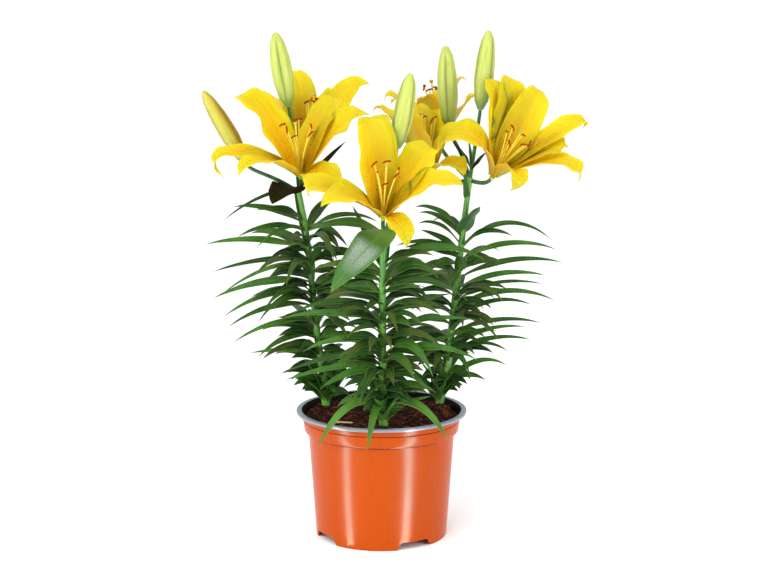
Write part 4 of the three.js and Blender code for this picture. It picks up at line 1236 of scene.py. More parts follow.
@dataclass
class Peat:
    """Dark moist peat: a crumbly top with loose crumbs, dead fibres and a pale twig."""

    bump: float = 1.3
    mound: float = 1.6
    edge_radius: float = 76.2
    sides: int = 150
    rings: int = 52
    patch_radius: float = 72.5
    patch_half: float = 74.0
    patch_offset: float = 1.5
    patch_steps: int = 50
    crumbs_per_cm2: float = 34.0
    fibres_per_cm2: float = 3.0
    seed: int = 5
    body: MottledFinish = MottledFinish(
        "moist peat", 0.95, ("#0A0503", "#20100A", "#5C2E1A"), 1.8, relief_mm=1.0, contrast=0.17,
        specular=0.08,
    )
    crumb: MottledFinish = MottledFinish(
        "peat crumbs", 0.95, ("#120805", "#2E1810", "#6C3A22"), 6.0, relief_mm=0.4, contrast=0.14,
        specular=0.1,
    )
    fibre: MottledFinish = MottledFinish(
        "dead moss fibre", 0.8, ("#22110A", "#462817", "#74502E"), 7.0, relief_mm=0.1, contrast=0.12,
        specular=0.2,
    )
    twig: MottledFinish = MottledFinish("bare pale twig", 0.7, ("#A88C5C", "#D8C596"))

    def height(self, x: Vec, y: Vec, stems: list[Vec]) -> Vec:
        """Gives the height of the peat's top.

        Args:
            x: Places across.
            y: Places to the back.
            stems: Where the stems come out.

        Returns:
            The heights.
        """
        z = PEAT_TOP + self.bump * 0.5 * (np.sin(x * 0.21 + 1.3) + np.sin(y * 0.26 - x * 0.08))
        z = z + self.bump * 0.5 * np.sin(x * 0.47 + y * 0.39)
        for s in stems:
            z = z + self.mound * np.exp(-((x - s[0]) ** 2 + (y - s[1]) ** 2) / 220)
        return z

    def mesh(self, stems: list[Vec]) -> Mesh:
        """Makes the peat's body with a rough top.

        Args:
            stems: Where the stems come out.

        Returns:
            A closed mesh, in metres.
        """
        rng = np.random.default_rng(self.seed)
        sides = self.sides
        a = 2 * np.pi * np.arange(sides) / sides
        rows = []
        for k in range(1, self.rings + 1):
            r = self.edge_radius * k / self.rings
            x, y = r * np.cos(a), r * np.sin(a)
            z = self.height(x, y, stems) + rng.uniform(-0.7, 0.6, sides)
            fall = 1.2 * np.clip((r - 67) / 9.2, 0, 1)
            rows.append(np.stack([x, y, z - fall], 1))
        for r, z in ((74.6, 109.2), (70.2, 106.2), (64.0, 12.3)):
            rows.append(np.stack([r * np.cos(a), r * np.sin(a), np.full(sides, z)], 1))
        middle = float(self.height(np.zeros(1), np.zeros(1), stems)[0])
        points = np.concatenate([[[0, 0, middle]], *rows, [[0, 0, 12.3]]])
        end, last = len(points) - 1, len(points) - 1 - sides
        faces = [(0, 1 + k, 1 + (k + 1) % sides) for k in range(sides)]
        for low in range(1, last, sides):
            high = low + sides
            for k in range(sides):
                j = (k + 1) % sides
                faces.append((low + k, high + k, high + j, low + j))
        faces += [(end, last + (k + 1) % sides, last + k) for k in range(sides)]
        mesh = new_mesh("peat", points, [], faces)
        face_out(mesh)
        shaded(mesh)
        return mesh

    def scatter_tree(self) -> NodeTree:
        """Builds the tree that strews crumbs or fibres over a surface.

        Returns:
            The tree.
        """
        tree, add, given = new_shape_tree("strewn bits", {
            "Density": ("Float", 1000.0), "Smallest": ("Float", 0.4), "Largest": ("Float", 1.0),
            "Stretch": ("Vector", (1.0, 1.0, 1.0)), "Seed": ("Int", 1),
        })
        asked = given.outputs
        over = {"Mesh": asked["Geometry"], "Density": asked["Density"], "Seed": asked["Seed"]}
        spots = add("GeometryNodeDistributePointsOnFaces", over, {"distribute_method": "RANDOM"})
        bit = add("GeometryNodeMeshIcoSphere", {"Radius": 0.001, "Subdivisions": 1})
        long_bit = add("GeometryNodeTransform", {"Geometry": bit, "Scale": asked["Stretch"]})
        between = {2: asked["Smallest"], 3: asked["Largest"], "Seed": 3}
        size = add("FunctionNodeRandomValue", between, {"data_type": "FLOAT"})
        between = {0: (-0.35, -0.35, 0.0), 1: (0.35, 0.35, 6.28), "Seed": 4}
        turn = add("FunctionNodeRandomValue", between, {"data_type": "FLOAT_VECTOR"})
        strewn = add("GeometryNodeInstanceOnPoints", {
            "Points": spots.outputs["Points"], "Instance": long_bit, "Rotation": turn, "Scale": size,
        })
        real = add(REALIZE, {"Geometry": strewn})
        # Noise pushes each bit out of round.
        place = add("GeometryNodeInputPosition")
        noise = add(NOISE, {"Vector": place, "Scale": 900.0, "Detail": 1.0})
        centred = add(VECTOR_MATH, (noise.outputs["Color"], (0.5, 0.5, 0.5)), MINUS)
        jitter = add(VECTOR_MATH, {0: centred, "Scale": 0.0011}, SCALE)
        end_shape_tree(add, given, add(SET_POSITION, {"Geometry": real, "Offset": jitter}))
        return tree

    def top_patch(self, stems: list[Vec]) -> Mesh:
        """Makes the bare top that the bits are strewn on.

        Args:
            stems: Where the stems come out.

        Returns:
            An open mesh, in metres.
        """
        n = self.patch_steps
        steps = np.linspace(-self.patch_half, self.patch_half, n)
        x, y = np.meshgrid(steps, steps, indexing="ij")
        points = np.stack([x, y, self.height(x, y, stems)], 2).reshape(-1, 3)
        faces = [
            (i * n + j, (i + 1) * n + j, (i + 1) * n + j + 1, i * n + j + 1)
            for i in range(n - 1)
            for j in range(n - 1)
            if math.hypot(steps[i] + self.patch_offset, steps[j] + self.patch_offset) < self.patch_radius
        ]
        return new_mesh("peat_patch", points, [], faces)

    def build(self, stems: list[Vec], sweeper: Sweeper) -> None:
        """Builds and dresses the peat, its loose bits and the twig.

        Args:
            stems: Where the stems come out.
            sweeper: Makes the twig.
        """
        mesh = self.mesh(stems)
        mesh.materials.append(self.body.build())
        piece_of("peat_fill", mesh, "soil", "soil")
        tree = self.scatter_tree()
        for name, per_cm2, smallest, stretch, seed, finish in (
            ("peat_crumbs", self.crumbs_per_cm2, 0.35, (1.3, 0.9, 0.7), self.seed, self.crumb),
            ("peat_fibres", self.fibres_per_cm2, 0.6, (4.0, 0.45, 0.4), self.seed + 1, self.fibre),
        ):
            bits = baked(name, self.top_patch(stems), tree, {
                "Density": per_cm2 * 1e4, "Smallest": smallest, "Largest": 1.5, "Stretch": stretch,
                "Seed": seed, "Material": finish.build(),
            })
            piece_of(name, bits, "soil")
        line = bezier(vec([-52, -46, 125]), vec([-44, -50, 127]), vec([-36, -50, 126]), vec([-27, -54, 127]))
        s = np.linspace(0, 1, 14)
        radii = 0.9 * np.sqrt(np.clip(1 - (2 * s - 1) ** 6, 0.03, 1))
        twig = sweeper.rod_mesh("bare_twig", [(line(s), radii)], self.twig.build(), 8)
        piece_of("bare_twig", twig, "soil")


@dataclass
class Stalk:
    """A flower stalk: it leaves the stem's top and meets its bloom or bud."""

    start: Vec
    via: Vec
    end: Vec
    axis: Vec
    foot_radius: float
    top_radius: float
    STRAIGHT_END = 9

    def line(self) -> Curve:
        """Gives the stalk's centre line."""
        return bezier(self.start, self.via, self.end - self.axis * self.STRAIGHT_END, self.end)


@dataclass
class Leaf:
    """A leaf that the eye picks out: the height of its root, its tip, its arch and its width."""

    z: float
    tip: Point
    rise: float
    width: float
    broad: bool = False
    taper: float = 2.3
    # A positive silver value gives the leaf the painted sheen; a negative one makes it an old, olive-brown
    # leaf.
    silver: float = 0.0
    foot: Point | None = None
    roll: float = 0.0


@dataclass
class Plant:
    """One grown plant: a stem, its leaves and the stalks of its flowers and buds."""

    name: str
    stem: list[Point]
    foot_radius: float
    top_radius: float
    leaf_count: int
    leaf_low: float
    leaf_high: float
    leaf_start: float
    leaf_seed: float
    named: list[Leaf]
    extra: int = 0
    bracts: tuple[Leaf, ...] = ()
    stalks: list[Stalk] = field(default_factory=list)
    blades: list[Blade] = field(default_factory=list)
    FACE_LIGHT = 0.95
    FRONT_RISE = 12
    LEAF_PARTS = 24
    LEAF_SKIP = 16
    SHORT_AFTER = 12
    TRIES = 26
    NAMED_TRIES = 16
    OTHERS_GAP = 3.6
    CLASP_Z = 131
    CLASP_SKIP = 32
    EXTRA_LEFT = -136
    EXTRA_RIGHT = 122
    FOOT_LEAVES = 7
    FOOT_Z = 121
    CLASP_TONE = 1.0
    BROAD_TONE = 0.1
    WAXED_TONE = 0.62
    # The tone of the leaf that carries the painted sheen.
    FOOT_TONE = 0.72
    STEM_STATIONS = 60

    @property
    def top(self) -> Vec:
        """Gives the stem's top."""
        return vec(self.stem[-1])

    def at(self, z: float) -> Vec:
        """Gives the stem's centre at a height.

        Args:
            z: The height.

        Returns:
            The point.
        """
        i = 0
        while i < len(self.stem) - 2 and z > self.stem[i + 1][2]:
            i += 1
        a, b = vec(self.stem[i]), vec(self.stem[i + 1])
        t = (z - a[2]) / (b[2] - a[2])
        return vec([mix(a[0], b[0], t), mix(a[1], b[1], t), z])

    def named_leaf(self, spec: Leaf, depth: float = 0.0) -> Blade:
        """Makes a leaf from its tip: it rises, arches over and comes down on the tip.

        Args:
            spec: The leaf's sizes.
            depth: How far its tip is moved back to pass others.

        Returns:
            The blade.
        """
        p0 = self.at(spec.z)
        tip = vec(spec.tip) + vec([0, depth, 0])
        way = tip - p0
        flat = unit(vec([way[0], way[1], 0]))
        p1 = p0 + (vec(spec.foot) if spec.foot else way * 0.28 + vec([0, 0, spec.rise]))
        p2 = p0 + way * 0.72 + vec([0, 0, spec.rise * 0.9])
        return Blade(
            curve=bezier(p0, p1, p2, tip),
            side=np.cross([0, 0, 1], flat),
            width=leaf_width(spec.width, spec.broad, spec.taper),
            roll=spec.roll or (0.3 if spec.broad else self.FACE_LIGHT) * flat[0],
            fold=0.12 if spec.broad else 0.22,
            length=float(np.linalg.norm(way)) * 1.12,
            seed=spec.z * 0.013 + spec.tip[0] * 0.001,
            silver=spec.silver,
        )

    @staticmethod
    def leaf_length(t: float) -> float:
        """Gives the leaves' length along the stem: short at the foot, longest above the middle.

        Args:
            t: The place along the stem, from 0 to 1.

        Returns:
            The length in millimetres.
        """
        if t < 0.4:
            return mix(54, 110, (t / 0.4) ** 0.75)
        return 110 if t < 0.75 else mix(110, 84, (t - 0.75) / 0.25)

    def spiral_leaf(
        self, i: float, attempt: int, reach: float = 1.0, facing: float | None = None
    ) -> Blade:
        """Makes a leaf of the spiral, turned, raised and shortened by the try's number.

        Args:
            i: The leaf's number up the stem.
            attempt: The try's number.
            reach: A share of the usual length.
            facing: The way that it points in degrees, where the spiral doesn't give it.

        Returns:
            The blade.
        """
        t = i / (self.leaf_count - 1)
        seed = self.leaf_seed * 100 + i * 7
        turn = (1 if attempt % 2 else -1) * math.ceil(attempt / 2) * 7
        way = self.leaf_start + i * GOLDEN_DEG if facing is None else facing
        azimuth = math.radians(way + (draw(seed) - 0.5) * 24 + turn)
        shrink = 0.8 if attempt > self.SHORT_AFTER else 1.0
        sideways = 1 - 0.26 * math.cos(azimuth) ** 2
        length = self.leaf_length(t) * mix(0.72, 1.05, draw(seed + 1)) * shrink * sideways * reach
        rise = mix(60, 46, t / 0.25) if t < 0.25 else mix(46, 42, t)
        rise += self.FRONT_RISE * max(0.0, -math.sin(azimuth))
        start = math.radians(rise + (draw(seed + 3) - 0.5) * 24 + (attempt % 3) * 4)
        end = math.radians(mix(-34, -24, t) + (draw(seed + 4) - 0.5) * 36 - (attempt % 4) * 5)
        swing = (draw(seed + 5) - 0.5) * 0.5
        parts = self.LEAF_PARTS
        s = (np.arange(parts) + 0.5) / parts
        lean = start + (end - start) * s**0.9
        a = azimuth + swing * s * s
        steps = np.stack([np.cos(a) * np.cos(lean), np.sin(a) * np.cos(lean), np.sin(lean)], 1)
        root = self.at(mix(self.leaf_low, self.leaf_high, t))
        points = np.concatenate([[root], root + np.cumsum(steps * (length / parts), 0)])
        knots = np.arange(parts + 1) / parts

        def curve(q: Vec) -> Vec:
            """Gives the leaf's centre line."""
            q = np.clip(np.atleast_1d(q), 0, 1)
            return np.stack([np.interp(q, knots, points[:, k]) for k in range(3)], 1)

        return Blade(
            curve=curve,
            side=vec([-math.sin(azimuth), math.cos(azimuth), 0]),
            width=leaf_width(mix(9, 13, draw(seed + 2)), False),
            roll=self.FACE_LIGHT * math.cos(azimuth) + (draw(seed + 6) - 0.5) * 0.7,
            fold=0.22,
            length=length,
            seed=draw(seed + 9),
            tone=self.brightness(root[2]) - 0.15 + 0.4 * (draw(seed + 8) - 0.5),
        )

    @staticmethod
    def brightness(z: float) -> float:
        """Gives how bright leaves are at a height: old ones at the foot are the yellower green."""
        return mix(0.66, 0.5, min(1.0, max(0.0, (z - 125) / 90)))

    def carry(self, stalk: Stalk, room: Room) -> None:
        """Adds the stalk of a flower or bud."""
        self.stalks.append(stalk)
        room.put(rod_samples(stalk.line()(np.arange(5) / 4)), self.name, 1.5)

    def grow(self, blade: Blade, points: Vec, room: Room) -> None:
        """Adds a leaf that has found its place."""
        room.put(points, self.name)
        self.blades.append(blade)

    def place_named(self, room: Room) -> None:
        """Places the leaves that the eye picks out.

        Args:
            room: The space taken so far.
        """
        for spec in self.named:
            straight = float(np.linalg.norm(vec(spec.tip) - self.at(spec.z))) * 1.12
            clasps = spec.z < self.CLASP_Z
            for attempt in range(self.NAMED_TRIES):
                depth = (6 if attempt % 2 else -6) * math.ceil(attempt / 2)
                blade = self.named_leaf(spec, depth)
                points = blade.samples(straight, self.CLASP_SKIP if clasps else self.LEAF_SKIP)
                own = 0.0 if clasps or attempt > self.NAMED_TRIES / 2 else 1.6
                if room.blocked(points, self.name, self.OTHERS_GAP, own):
                    continue
                blade.tone = self.brightness(spec.z) + 0.4 * (draw(spec.z + spec.tip[0]) - 0.5)
                if spec.silver > 0:
                    blade.tone = self.WAXED_TONE
                elif spec.broad:
                    blade.tone = self.BROAD_TONE
                elif clasps:
                    blade.tone = self.CLASP_TONE
                self.grow(blade, points, room)
                break

    def place_spiral(self, room: Room) -> None:
        """Places the leaves of the spiral, each bent clear of what is there.

        Args:
            room: The space taken so far.
        """
        for i in range(self.leaf_count):
            for attempt in range(self.TRIES):
                blade = self.spiral_leaf(i, attempt)
                points = blade.samples(blade.length, self.LEAF_SKIP)
                if not in_the_way(points) and not room.blocked(points, self.name, self.OTHERS_GAP, 2.6):
                    self.grow(blade, points, room)
                    break

    def place_extra(self, room: Room, box: tuple[Vec, Vec]) -> None:
        """Places more leaves of the same spiral between the others, where there is room.

        Args:
            room: The space taken so far.
            box: The box that they stay in.
        """
        for k in range(self.extra):
            i = 0.3 + (k * 0.618 % 1.0) ** 1.45 * (self.leaf_count - 3)
            reach = mix(0.65, 1.0, draw(k * 3 + self.leaf_seed))
            facing = None
            if k % 2 == 0:
                # Every second one faces the front, to one side or the other.
                turn = mix(34, 84, draw(k * 5 + self.leaf_seed))
                facing = -90 + (turn if k % 4 else -turn)
                reach *= 0.75
            for attempt in range(self.TRIES):
                blade = self.spiral_leaf(i, attempt, reach, facing)
                points = blade.samples(blade.length, self.LEAF_SKIP)
                if np.any(points < box[0] + 3) or np.any(points > box[1] - 3):
                    continue
                if points[:, 0].max() > self.EXTRA_RIGHT or points[:, 0].min() < self.EXTRA_LEFT:
                    continue
                if in_the_way(points) or room.blocked(points, self.name, 2.0, 0.9):
                    continue
                # Painted shade: the leaves between the others take low tones, dark as if shaded by the rest.
                blade.tone = 0.05 + 0.5 * draw(k + self.leaf_seed)
                self.grow(blade, points, room)
                break

    def place_small(self) -> None:
        """Places the bracts under the flowers, and the young leaves that clasp and hide the stem's foot."""
        tones = [self.BROAD_TONE] * len(self.bracts) + [self.FOOT_TONE] * self.FOOT_LEAVES
        specs = list(self.bracts)
        for k in range(self.FOOT_LEAVES):
            a = math.radians(self.leaf_start + (k + 0.5 * draw(k + self.leaf_seed)) * 360 / self.FOOT_LEAVES)
            reach = mix(22, 36, draw(k * 3 + self.leaf_seed))
            high = mix(30, 46, draw(k * 7 + self.leaf_seed))
            tip = self.at(self.FOOT_Z) + vec([math.cos(a) * reach, math.sin(a) * reach, high])
            specs.append(Leaf(self.FOOT_Z, tuple(tip), 4, 9, foot=(0, 0, 15)))
        for spec, tone in zip(specs, tones):
            blade = self.named_leaf(spec)
            blade.tone = tone
            self.blades.append(blade)

    def build(self, sweeper: Sweeper, looks: dict[str, Material]) -> None:
        """Builds and dresses the plant.

        Args:
            sweeper: Makes the meshes.
            looks: The materials by name.
        """
        heights = np.linspace(self.stem[0][2], self.stem[-1][2], self.STEM_STATIONS)
        line = np.array([self.at(float(z)) for z in heights])
        kernel = np.array([1, 4, 6, 4, 1]) / 16
        for _ in range(3):
            for axis in (0, 1):
                line[2:-2, axis] = np.convolve(line[:, axis], kernel, "valid")
        radii = [
            mix(self.foot_radius, self.top_radius, min(1.0, max(0.0, (z - PEAT_TOP) / 220))) for z in heights
        ]
        s = np.linspace(0, 1, 22)
        stalks = [(k.line()(s), k.foot_radius + (k.top_radius - k.foot_radius) * s) for k in self.stalks]
        side = self.name.split("_")[1]
        for name, rods, look in (("stem_", [(line, np.array(radii))], "stem"), ("stalks_", stalks, "stalk")):
            piece_of(name + side, sweeper.rod_mesh(name + side, rods, looks[look], 12), "foliage", self.name)
        for name, old, look in (("leaves_", False, "leaf"), ("old_leaf_", True, "old_leaf")):
            blades = [blade for blade in self.blades if (blade.silver < 0) == old]
            if blades:
                mesh = sweeper.blade_mesh(name + side, blades, looks[look], 26, 16, 0.9, 0.45)
                piece_of(name + side, mesh, "foliage", self.name)


@dataclass
class Petal:
    """A petal: its tip from the receptacle, its width, its end's curl, how high it arches and its twist."""

    tip: Point
    width: float
    curl: float
    arch: float = 1.0
    turn: float = 0.0


@dataclass
class Bloom:
    """An open flower: its receptacle, petals, stamens and pistil."""

    name: str
    plant: str
    base: Point
    way: Point
    petals: list[Petal]
    number: int
    spread: float = 1.0
    lean: float = 1.0
    foot_out: float = 3.3
    lean_inner_deg: float = 31.0
    lean_outer_deg: float = 39.0
    filament: float = 54.0
    pistil: float = 60.0
    anther: float = 8.5
    stamen_count: int = 6
    lobe_count: int = 3
    FOOT_DEPTH = 5
    BASE_TOP = 1.2

    @property
    def axis(self) -> Vec:
        """Gives the flower's direction."""
        return unit(vec(self.way))

    @property
    def heart(self) -> Vec:
        """Gives the point on the flower's base where its stamens and pistil start."""
        return vec(self.base) + self.axis * (self.BASE_TOP + SMALLEST_GAP)

    def petal(self, spec: Petal, order: int) -> Blade:
        """Makes a petal: it opens outwards and curls back at its end.

        Args:
            spec: The petal's sizes.
            order: Its number; every second one is an outer petal.

        Returns:
            The blade.
        """
        axis, base, tip = self.axis, vec(self.base), vec(spec.tip)
        out = unit(tip - axis * float(tip @ axis))
        reach = float(np.linalg.norm(tip))
        lean = math.radians(self.lean_outer_deg if order % 2 else self.lean_inner_deg) * self.lean
        p0, p3 = base + out * self.foot_out, base + tip
        first = axis * math.cos(lean) + out * math.sin(lean)
        c = math.radians(spec.curl)
        end = out * math.cos(c) - axis * math.sin(c)
        p1, p2 = p0 + first * (reach * 0.4 * spec.arch), p3 - end * (reach * 0.34 * spec.arch)
        seed = self.number * 31 + order

        def width(s: Vec) -> Vec:
            """Gives the petal's widths at each s."""
            swell = np.sin(np.pi * (0.05 + 0.95 * np.asarray(s, float) ** 0.94))
            return spec.width * np.clip(swell, 0, 1) ** 0.85

        return Blade(
            curve=bezier(p0, p1, p2, p3),
            side=np.cross(axis, out),
            width=width,
            roll=(draw(seed + 0.5) - 0.5) * 0.3 + spec.turn,
            petal=True,
            wave=draw(seed) * 6.28,
            length=reach * 1.15,
            seed=draw(seed + 3),
        )

    def stamen_lines(self) -> tuple[list[Vec], list[Vec]]:
        """Gives the lines of the filaments and of the anthers.

        Returns:
            The filaments' three points each, and the anthers' two ends each.
        """
        axis, start, key = self.axis, self.heart, self.number
        side = unit(np.cross(axis, [0, 1, 0] if abs(axis[2]) > 0.9 else [0, 0, 1]))
        other = np.cross(axis, side)
        stalks, tips = [], []
        for i in range(self.stamen_count):
            a = (i + 0.5) / self.stamen_count * 2 * math.pi + key
            out = side * math.cos(a) + other * math.sin(a)
            splay = mix(0.16, 0.34, draw(key * 17 + i)) * self.spread
            spread = splay * self.filament
            high = self.filament * mix(0.92, 1.03, draw(key * 13 + i))
            first = start + out * 1.5 + axis * 1.5
            middle = start + out * (spread * 0.42) + axis * (high * 0.5)
            last = start + out * spread + axis * high
            tilt = axis * (2.2 * (draw(key * 5 + i) - 0.5))
            lean = unit(np.cross(axis, out) + tilt + out * (draw(key * 7 + i) - 0.3))
            c = last + axis * 0.4
            stalks.append(np.array([first, middle, last]))
            tips.append(np.array([c - lean * (self.anther / 2), c + lean * (self.anther / 2)]))
        return stalks, tips

    def place(self, room: Room, plant: Plant) -> None:
        """Fills the flower's space and gives its plant a stalk for it.

        Args:
            room: The space taken so far.
            plant: The plant that carries it.
        """
        rows = [
            self.petal(spec, order).samples(float(np.linalg.norm(spec.tip)) * 1.2, 0)
            for order, spec in enumerate(self.petals)
        ]
        room.put(np.concatenate(rows), "bloom_" + self.name)
        axis, start = self.axis, self.heart
        stalks, tips = self.stamen_lines()
        taken = [rod_samples(np.array([start, start + axis * self.pistil]))]
        for p, ends in zip(stalks, tips):
            taken += [rod_samples(p), rod_samples(ends)]
        room.put(np.concatenate(taken), "stamens_" + self.name)
        end = vec(self.base) - axis * self.FOOT_DEPTH - axis * SMALLEST_GAP
        via = plant.top * 0.5 + (end - axis * 12) * 0.5
        plant.carry(Stalk(plant.at(plant.top[2] - 3), via, end, axis, 2.2, 1.9), room)

    def build(self, sweeper: Sweeper, looks: dict[str, Material]) -> None:
        """Builds and dresses the flower.

        Args:
            sweeper: Makes the meshes.
            looks: The materials by name.
        """
        blades = [self.petal(spec, order) for order, spec in enumerate(self.petals)]
        petals = sweeper.blade_mesh("petals_" + self.name, blades, looks["petal"], 38, 44, 0.8, 1.3)
        piece_of("petals_" + self.name, petals, "petal", "bloom_" + self.name)
        axis, base, start = self.axis, vec(self.base), self.heart
        top = start + axis * self.pistil
        # The base that the petals stand on: a rod that swells and closes.
        s = np.linspace(0, 1, 12)
        holder = np.array([base + axis * (-self.FOOT_DEPTH + 7 * k) for k in s])
        closing = np.clip(1 - np.maximum(0, s - 0.8) ** 2 * 24, 0.04, 1)
        swell = np.clip(1.9 + 2.2 * s, 0, 3.9) * np.sqrt(closing)
        # Filaments, and the style in their middle.
        stalks, tips = self.stamen_lines()
        q = np.linspace(0, 1, 14)[:, None]
        threads = [
            (
                (1 - q) ** 2 * p[0] + 2 * q * (1 - q) * (2 * p[1] - (p[0] + p[2]) / 2) + q * q * p[2],
                0.95 - 0.45 * q[:, 0],
            )
            for p in stalks
        ]
        style = np.interp(q[:, 0], [0, 0.1, 0.2, 0.9, 1], [1.6, 1.7, 0.75, 0.85, 1.2])
        threads.append((start + (top - start) * q, style))
        # Anthers: short bows, thick in the middle.
        k = np.linspace(0, 1, 13)
        bow = axis * (1.2 * (2 * k[:, None] - 1) ** 2)
        thick = 0.9 * np.clip(1 - (2 * k - 1) ** 4, 0.02, 1) ** 0.5
        bows = [(ends[0] + (ends[1] - ends[0]) * k[:, None] - bow, thick) for ends in tips]
        # The stigma's lobes spread from the style's end.
        side = unit(np.cross(axis, [0.3, 1, 0.2]))
        other = np.cross(axis, side)
        g = np.linspace(0, 1, 7)
        plump = 1.25 * np.sqrt(np.clip(1 - (1.9 * g - 0.9) ** 4, 0.03, 1))
        lobes = []
        for i in range(self.lobe_count):
            a = 2 * math.pi * i / self.lobe_count
            out = side * math.cos(a) + other * math.sin(a)
            line = top - axis * 2 + axis * (2.6 * g[:, None]) + out * (0.3 + 1.3 * g[:, None])
            lobes.append((line, plump))
        for name, rods, look, sides, slot, node in (
            ("cup_", [(holder, swell)], "cup", 16, "petal", "bloom_"),
            ("filaments_", threads, "filament", 10, "stamen", "stamens_"),
            ("anthers_", bows, "anther", 10, "stamen", "stamens_"),
            ("stigma_", lobes, "stigma", 10, "stamen", "stamens_"),
        ):
            mesh = sweeper.rod_mesh(name + self.name, rods, looks[look], sides)
            piece_of(name + self.name, mesh, slot, node + self.name)


@dataclass
class Bud:
    """A closed bud: three outer petals shut over the inner ones, on its own stalk."""

    name: str
    plant: str
    base: Point
    tip: Point
    width: float
    via: Point
    number: int
    start_z: float | None = None
    blush: float = 0.0
    sides: int = 72
    rows: int = 40
    PROFILE = ((0, 0.26), (0.12, 0.68), (0.38, 0.98), (0.66, 0.94), (0.88, 0.64), (1, 0.2))
    END_RADIUS = 0.02

    @property
    def axis(self) -> Vec:
        """Gives the bud's direction."""
        return unit(vec(self.tip) - vec(self.base))

    def place(self, room: Room, plant: Plant) -> None:
        """Fills the bud's space and gives its plant a stalk for it.

        Args:
            room: The space taken so far.
            plant: The plant that carries it.
        """
        line = np.array([vec(self.base), vec(self.tip)])
        room.put(rod_samples(line), self.name, self.width / 2)
        end = vec(self.base) - self.axis * SMALLEST_GAP
        z = self.start_z if self.start_z is not None else plant.top[2] - 5
        plant.carry(Stalk(plant.at(z), vec(self.via), end, self.axis, 2.0, 1.7), room)

    def radius(self, s: float) -> float:
        """Gives the bud's radius as a share of the greatest, between its facets and a smooth oval.

        Args:
            s: The place along it, 0 to 1.

        Returns:
            The share.
        """
        if s in (0, 1):
            return self.END_RADIUS
        knots = np.array(self.PROFILE)
        level = float(np.interp(s, knots[:, 0], knots[:, 1]))
        smooth = 0.985 * max(0.0, 4 * s**0.75 * (1 - s**0.75)) ** 0.42
        return min(level + 0.02, 0.5 * level + 0.5 * smooth)

    def build(self, finish: Material) -> None:
        """Builds and dresses the bud.

        Args:
            finish: Its material.
        """
        way, axis = vec(self.tip) - vec(self.base), self.axis
        side = unit(np.cross(axis, [0, 1, 0]))
        other = np.cross(axis, side)
        sides, rows = self.sides, self.rows
        a = 2 * np.pi * np.arange(sides) / sides
        # Three grooves between the petals, dark at their bottom.
        near = np.abs(np.cos(1.5 * (a - (0.5 + self.number))))
        groove = near**40
        points, seams, places, grains = [], [], [], []
        for k in range(rows + 1):
            s = 0.5 - 0.5 * math.cos(math.pi * k / rows)
            swell = math.sin(math.pi * s)
            radius = self.width / 2 * self.radius(s) * (1 - 0.1 * near**6 * swell - 0.07 * groove * swell)
            x, y = radius * np.cos(a), radius * np.sin(a)
            points.append(vec(self.base) + way * s + np.outer(x, side) + np.outer(y, other))
            seams.append(np.clip(groove * 0.9 * swell**0.4, 0, 0.85) if 0 < s < 1 else groove * 0)
            places.append(np.stack([a / (2 * math.pi), np.full(sides, s)], 1))
            grains.append(np.stack([x, y, np.full(sides, s * np.linalg.norm(way))], 1))
        faces = []
        for low in range(0, rows * sides, sides):
            for i in range(sides):
                j = (i + 1) % sides
                faces.append((low + i, low + j, low + sides + j, low + sides + i))
        faces.append(tuple(reversed(range(sides))))
        faces.append(tuple(rows * sides + i for i in range(sides)))
        mesh = new_mesh(self.name, np.concatenate(points), [], faces)
        spots = np.concatenate(places)
        corner = np.empty(len(mesh.loops), np.int32)
        mesh.loops.foreach_get("vertex_index", corner)
        uv = mesh.uv_layers.new(name="UVMap")
        uv.data.foreach_set("uv", spots[corner].astype(np.float32).ravel())
        store(mesh, "seam", np.concatenate(seams))
        store(mesh, "grain", np.concatenate(grains) + self.number * 40)
        away = -np.cos(2 * np.pi * spots[:, 0])
        store(mesh, "tone", self.blush * np.clip(away * 1.3 - 0.15, 0, 1) * np.clip(spots[:, 1] * 3, 0, 1))
        mesh.materials.append(finish)
        face_out(mesh)
        shaded(mesh)
        piece_of("closed_" + self.name, mesh, "bud", self.name)


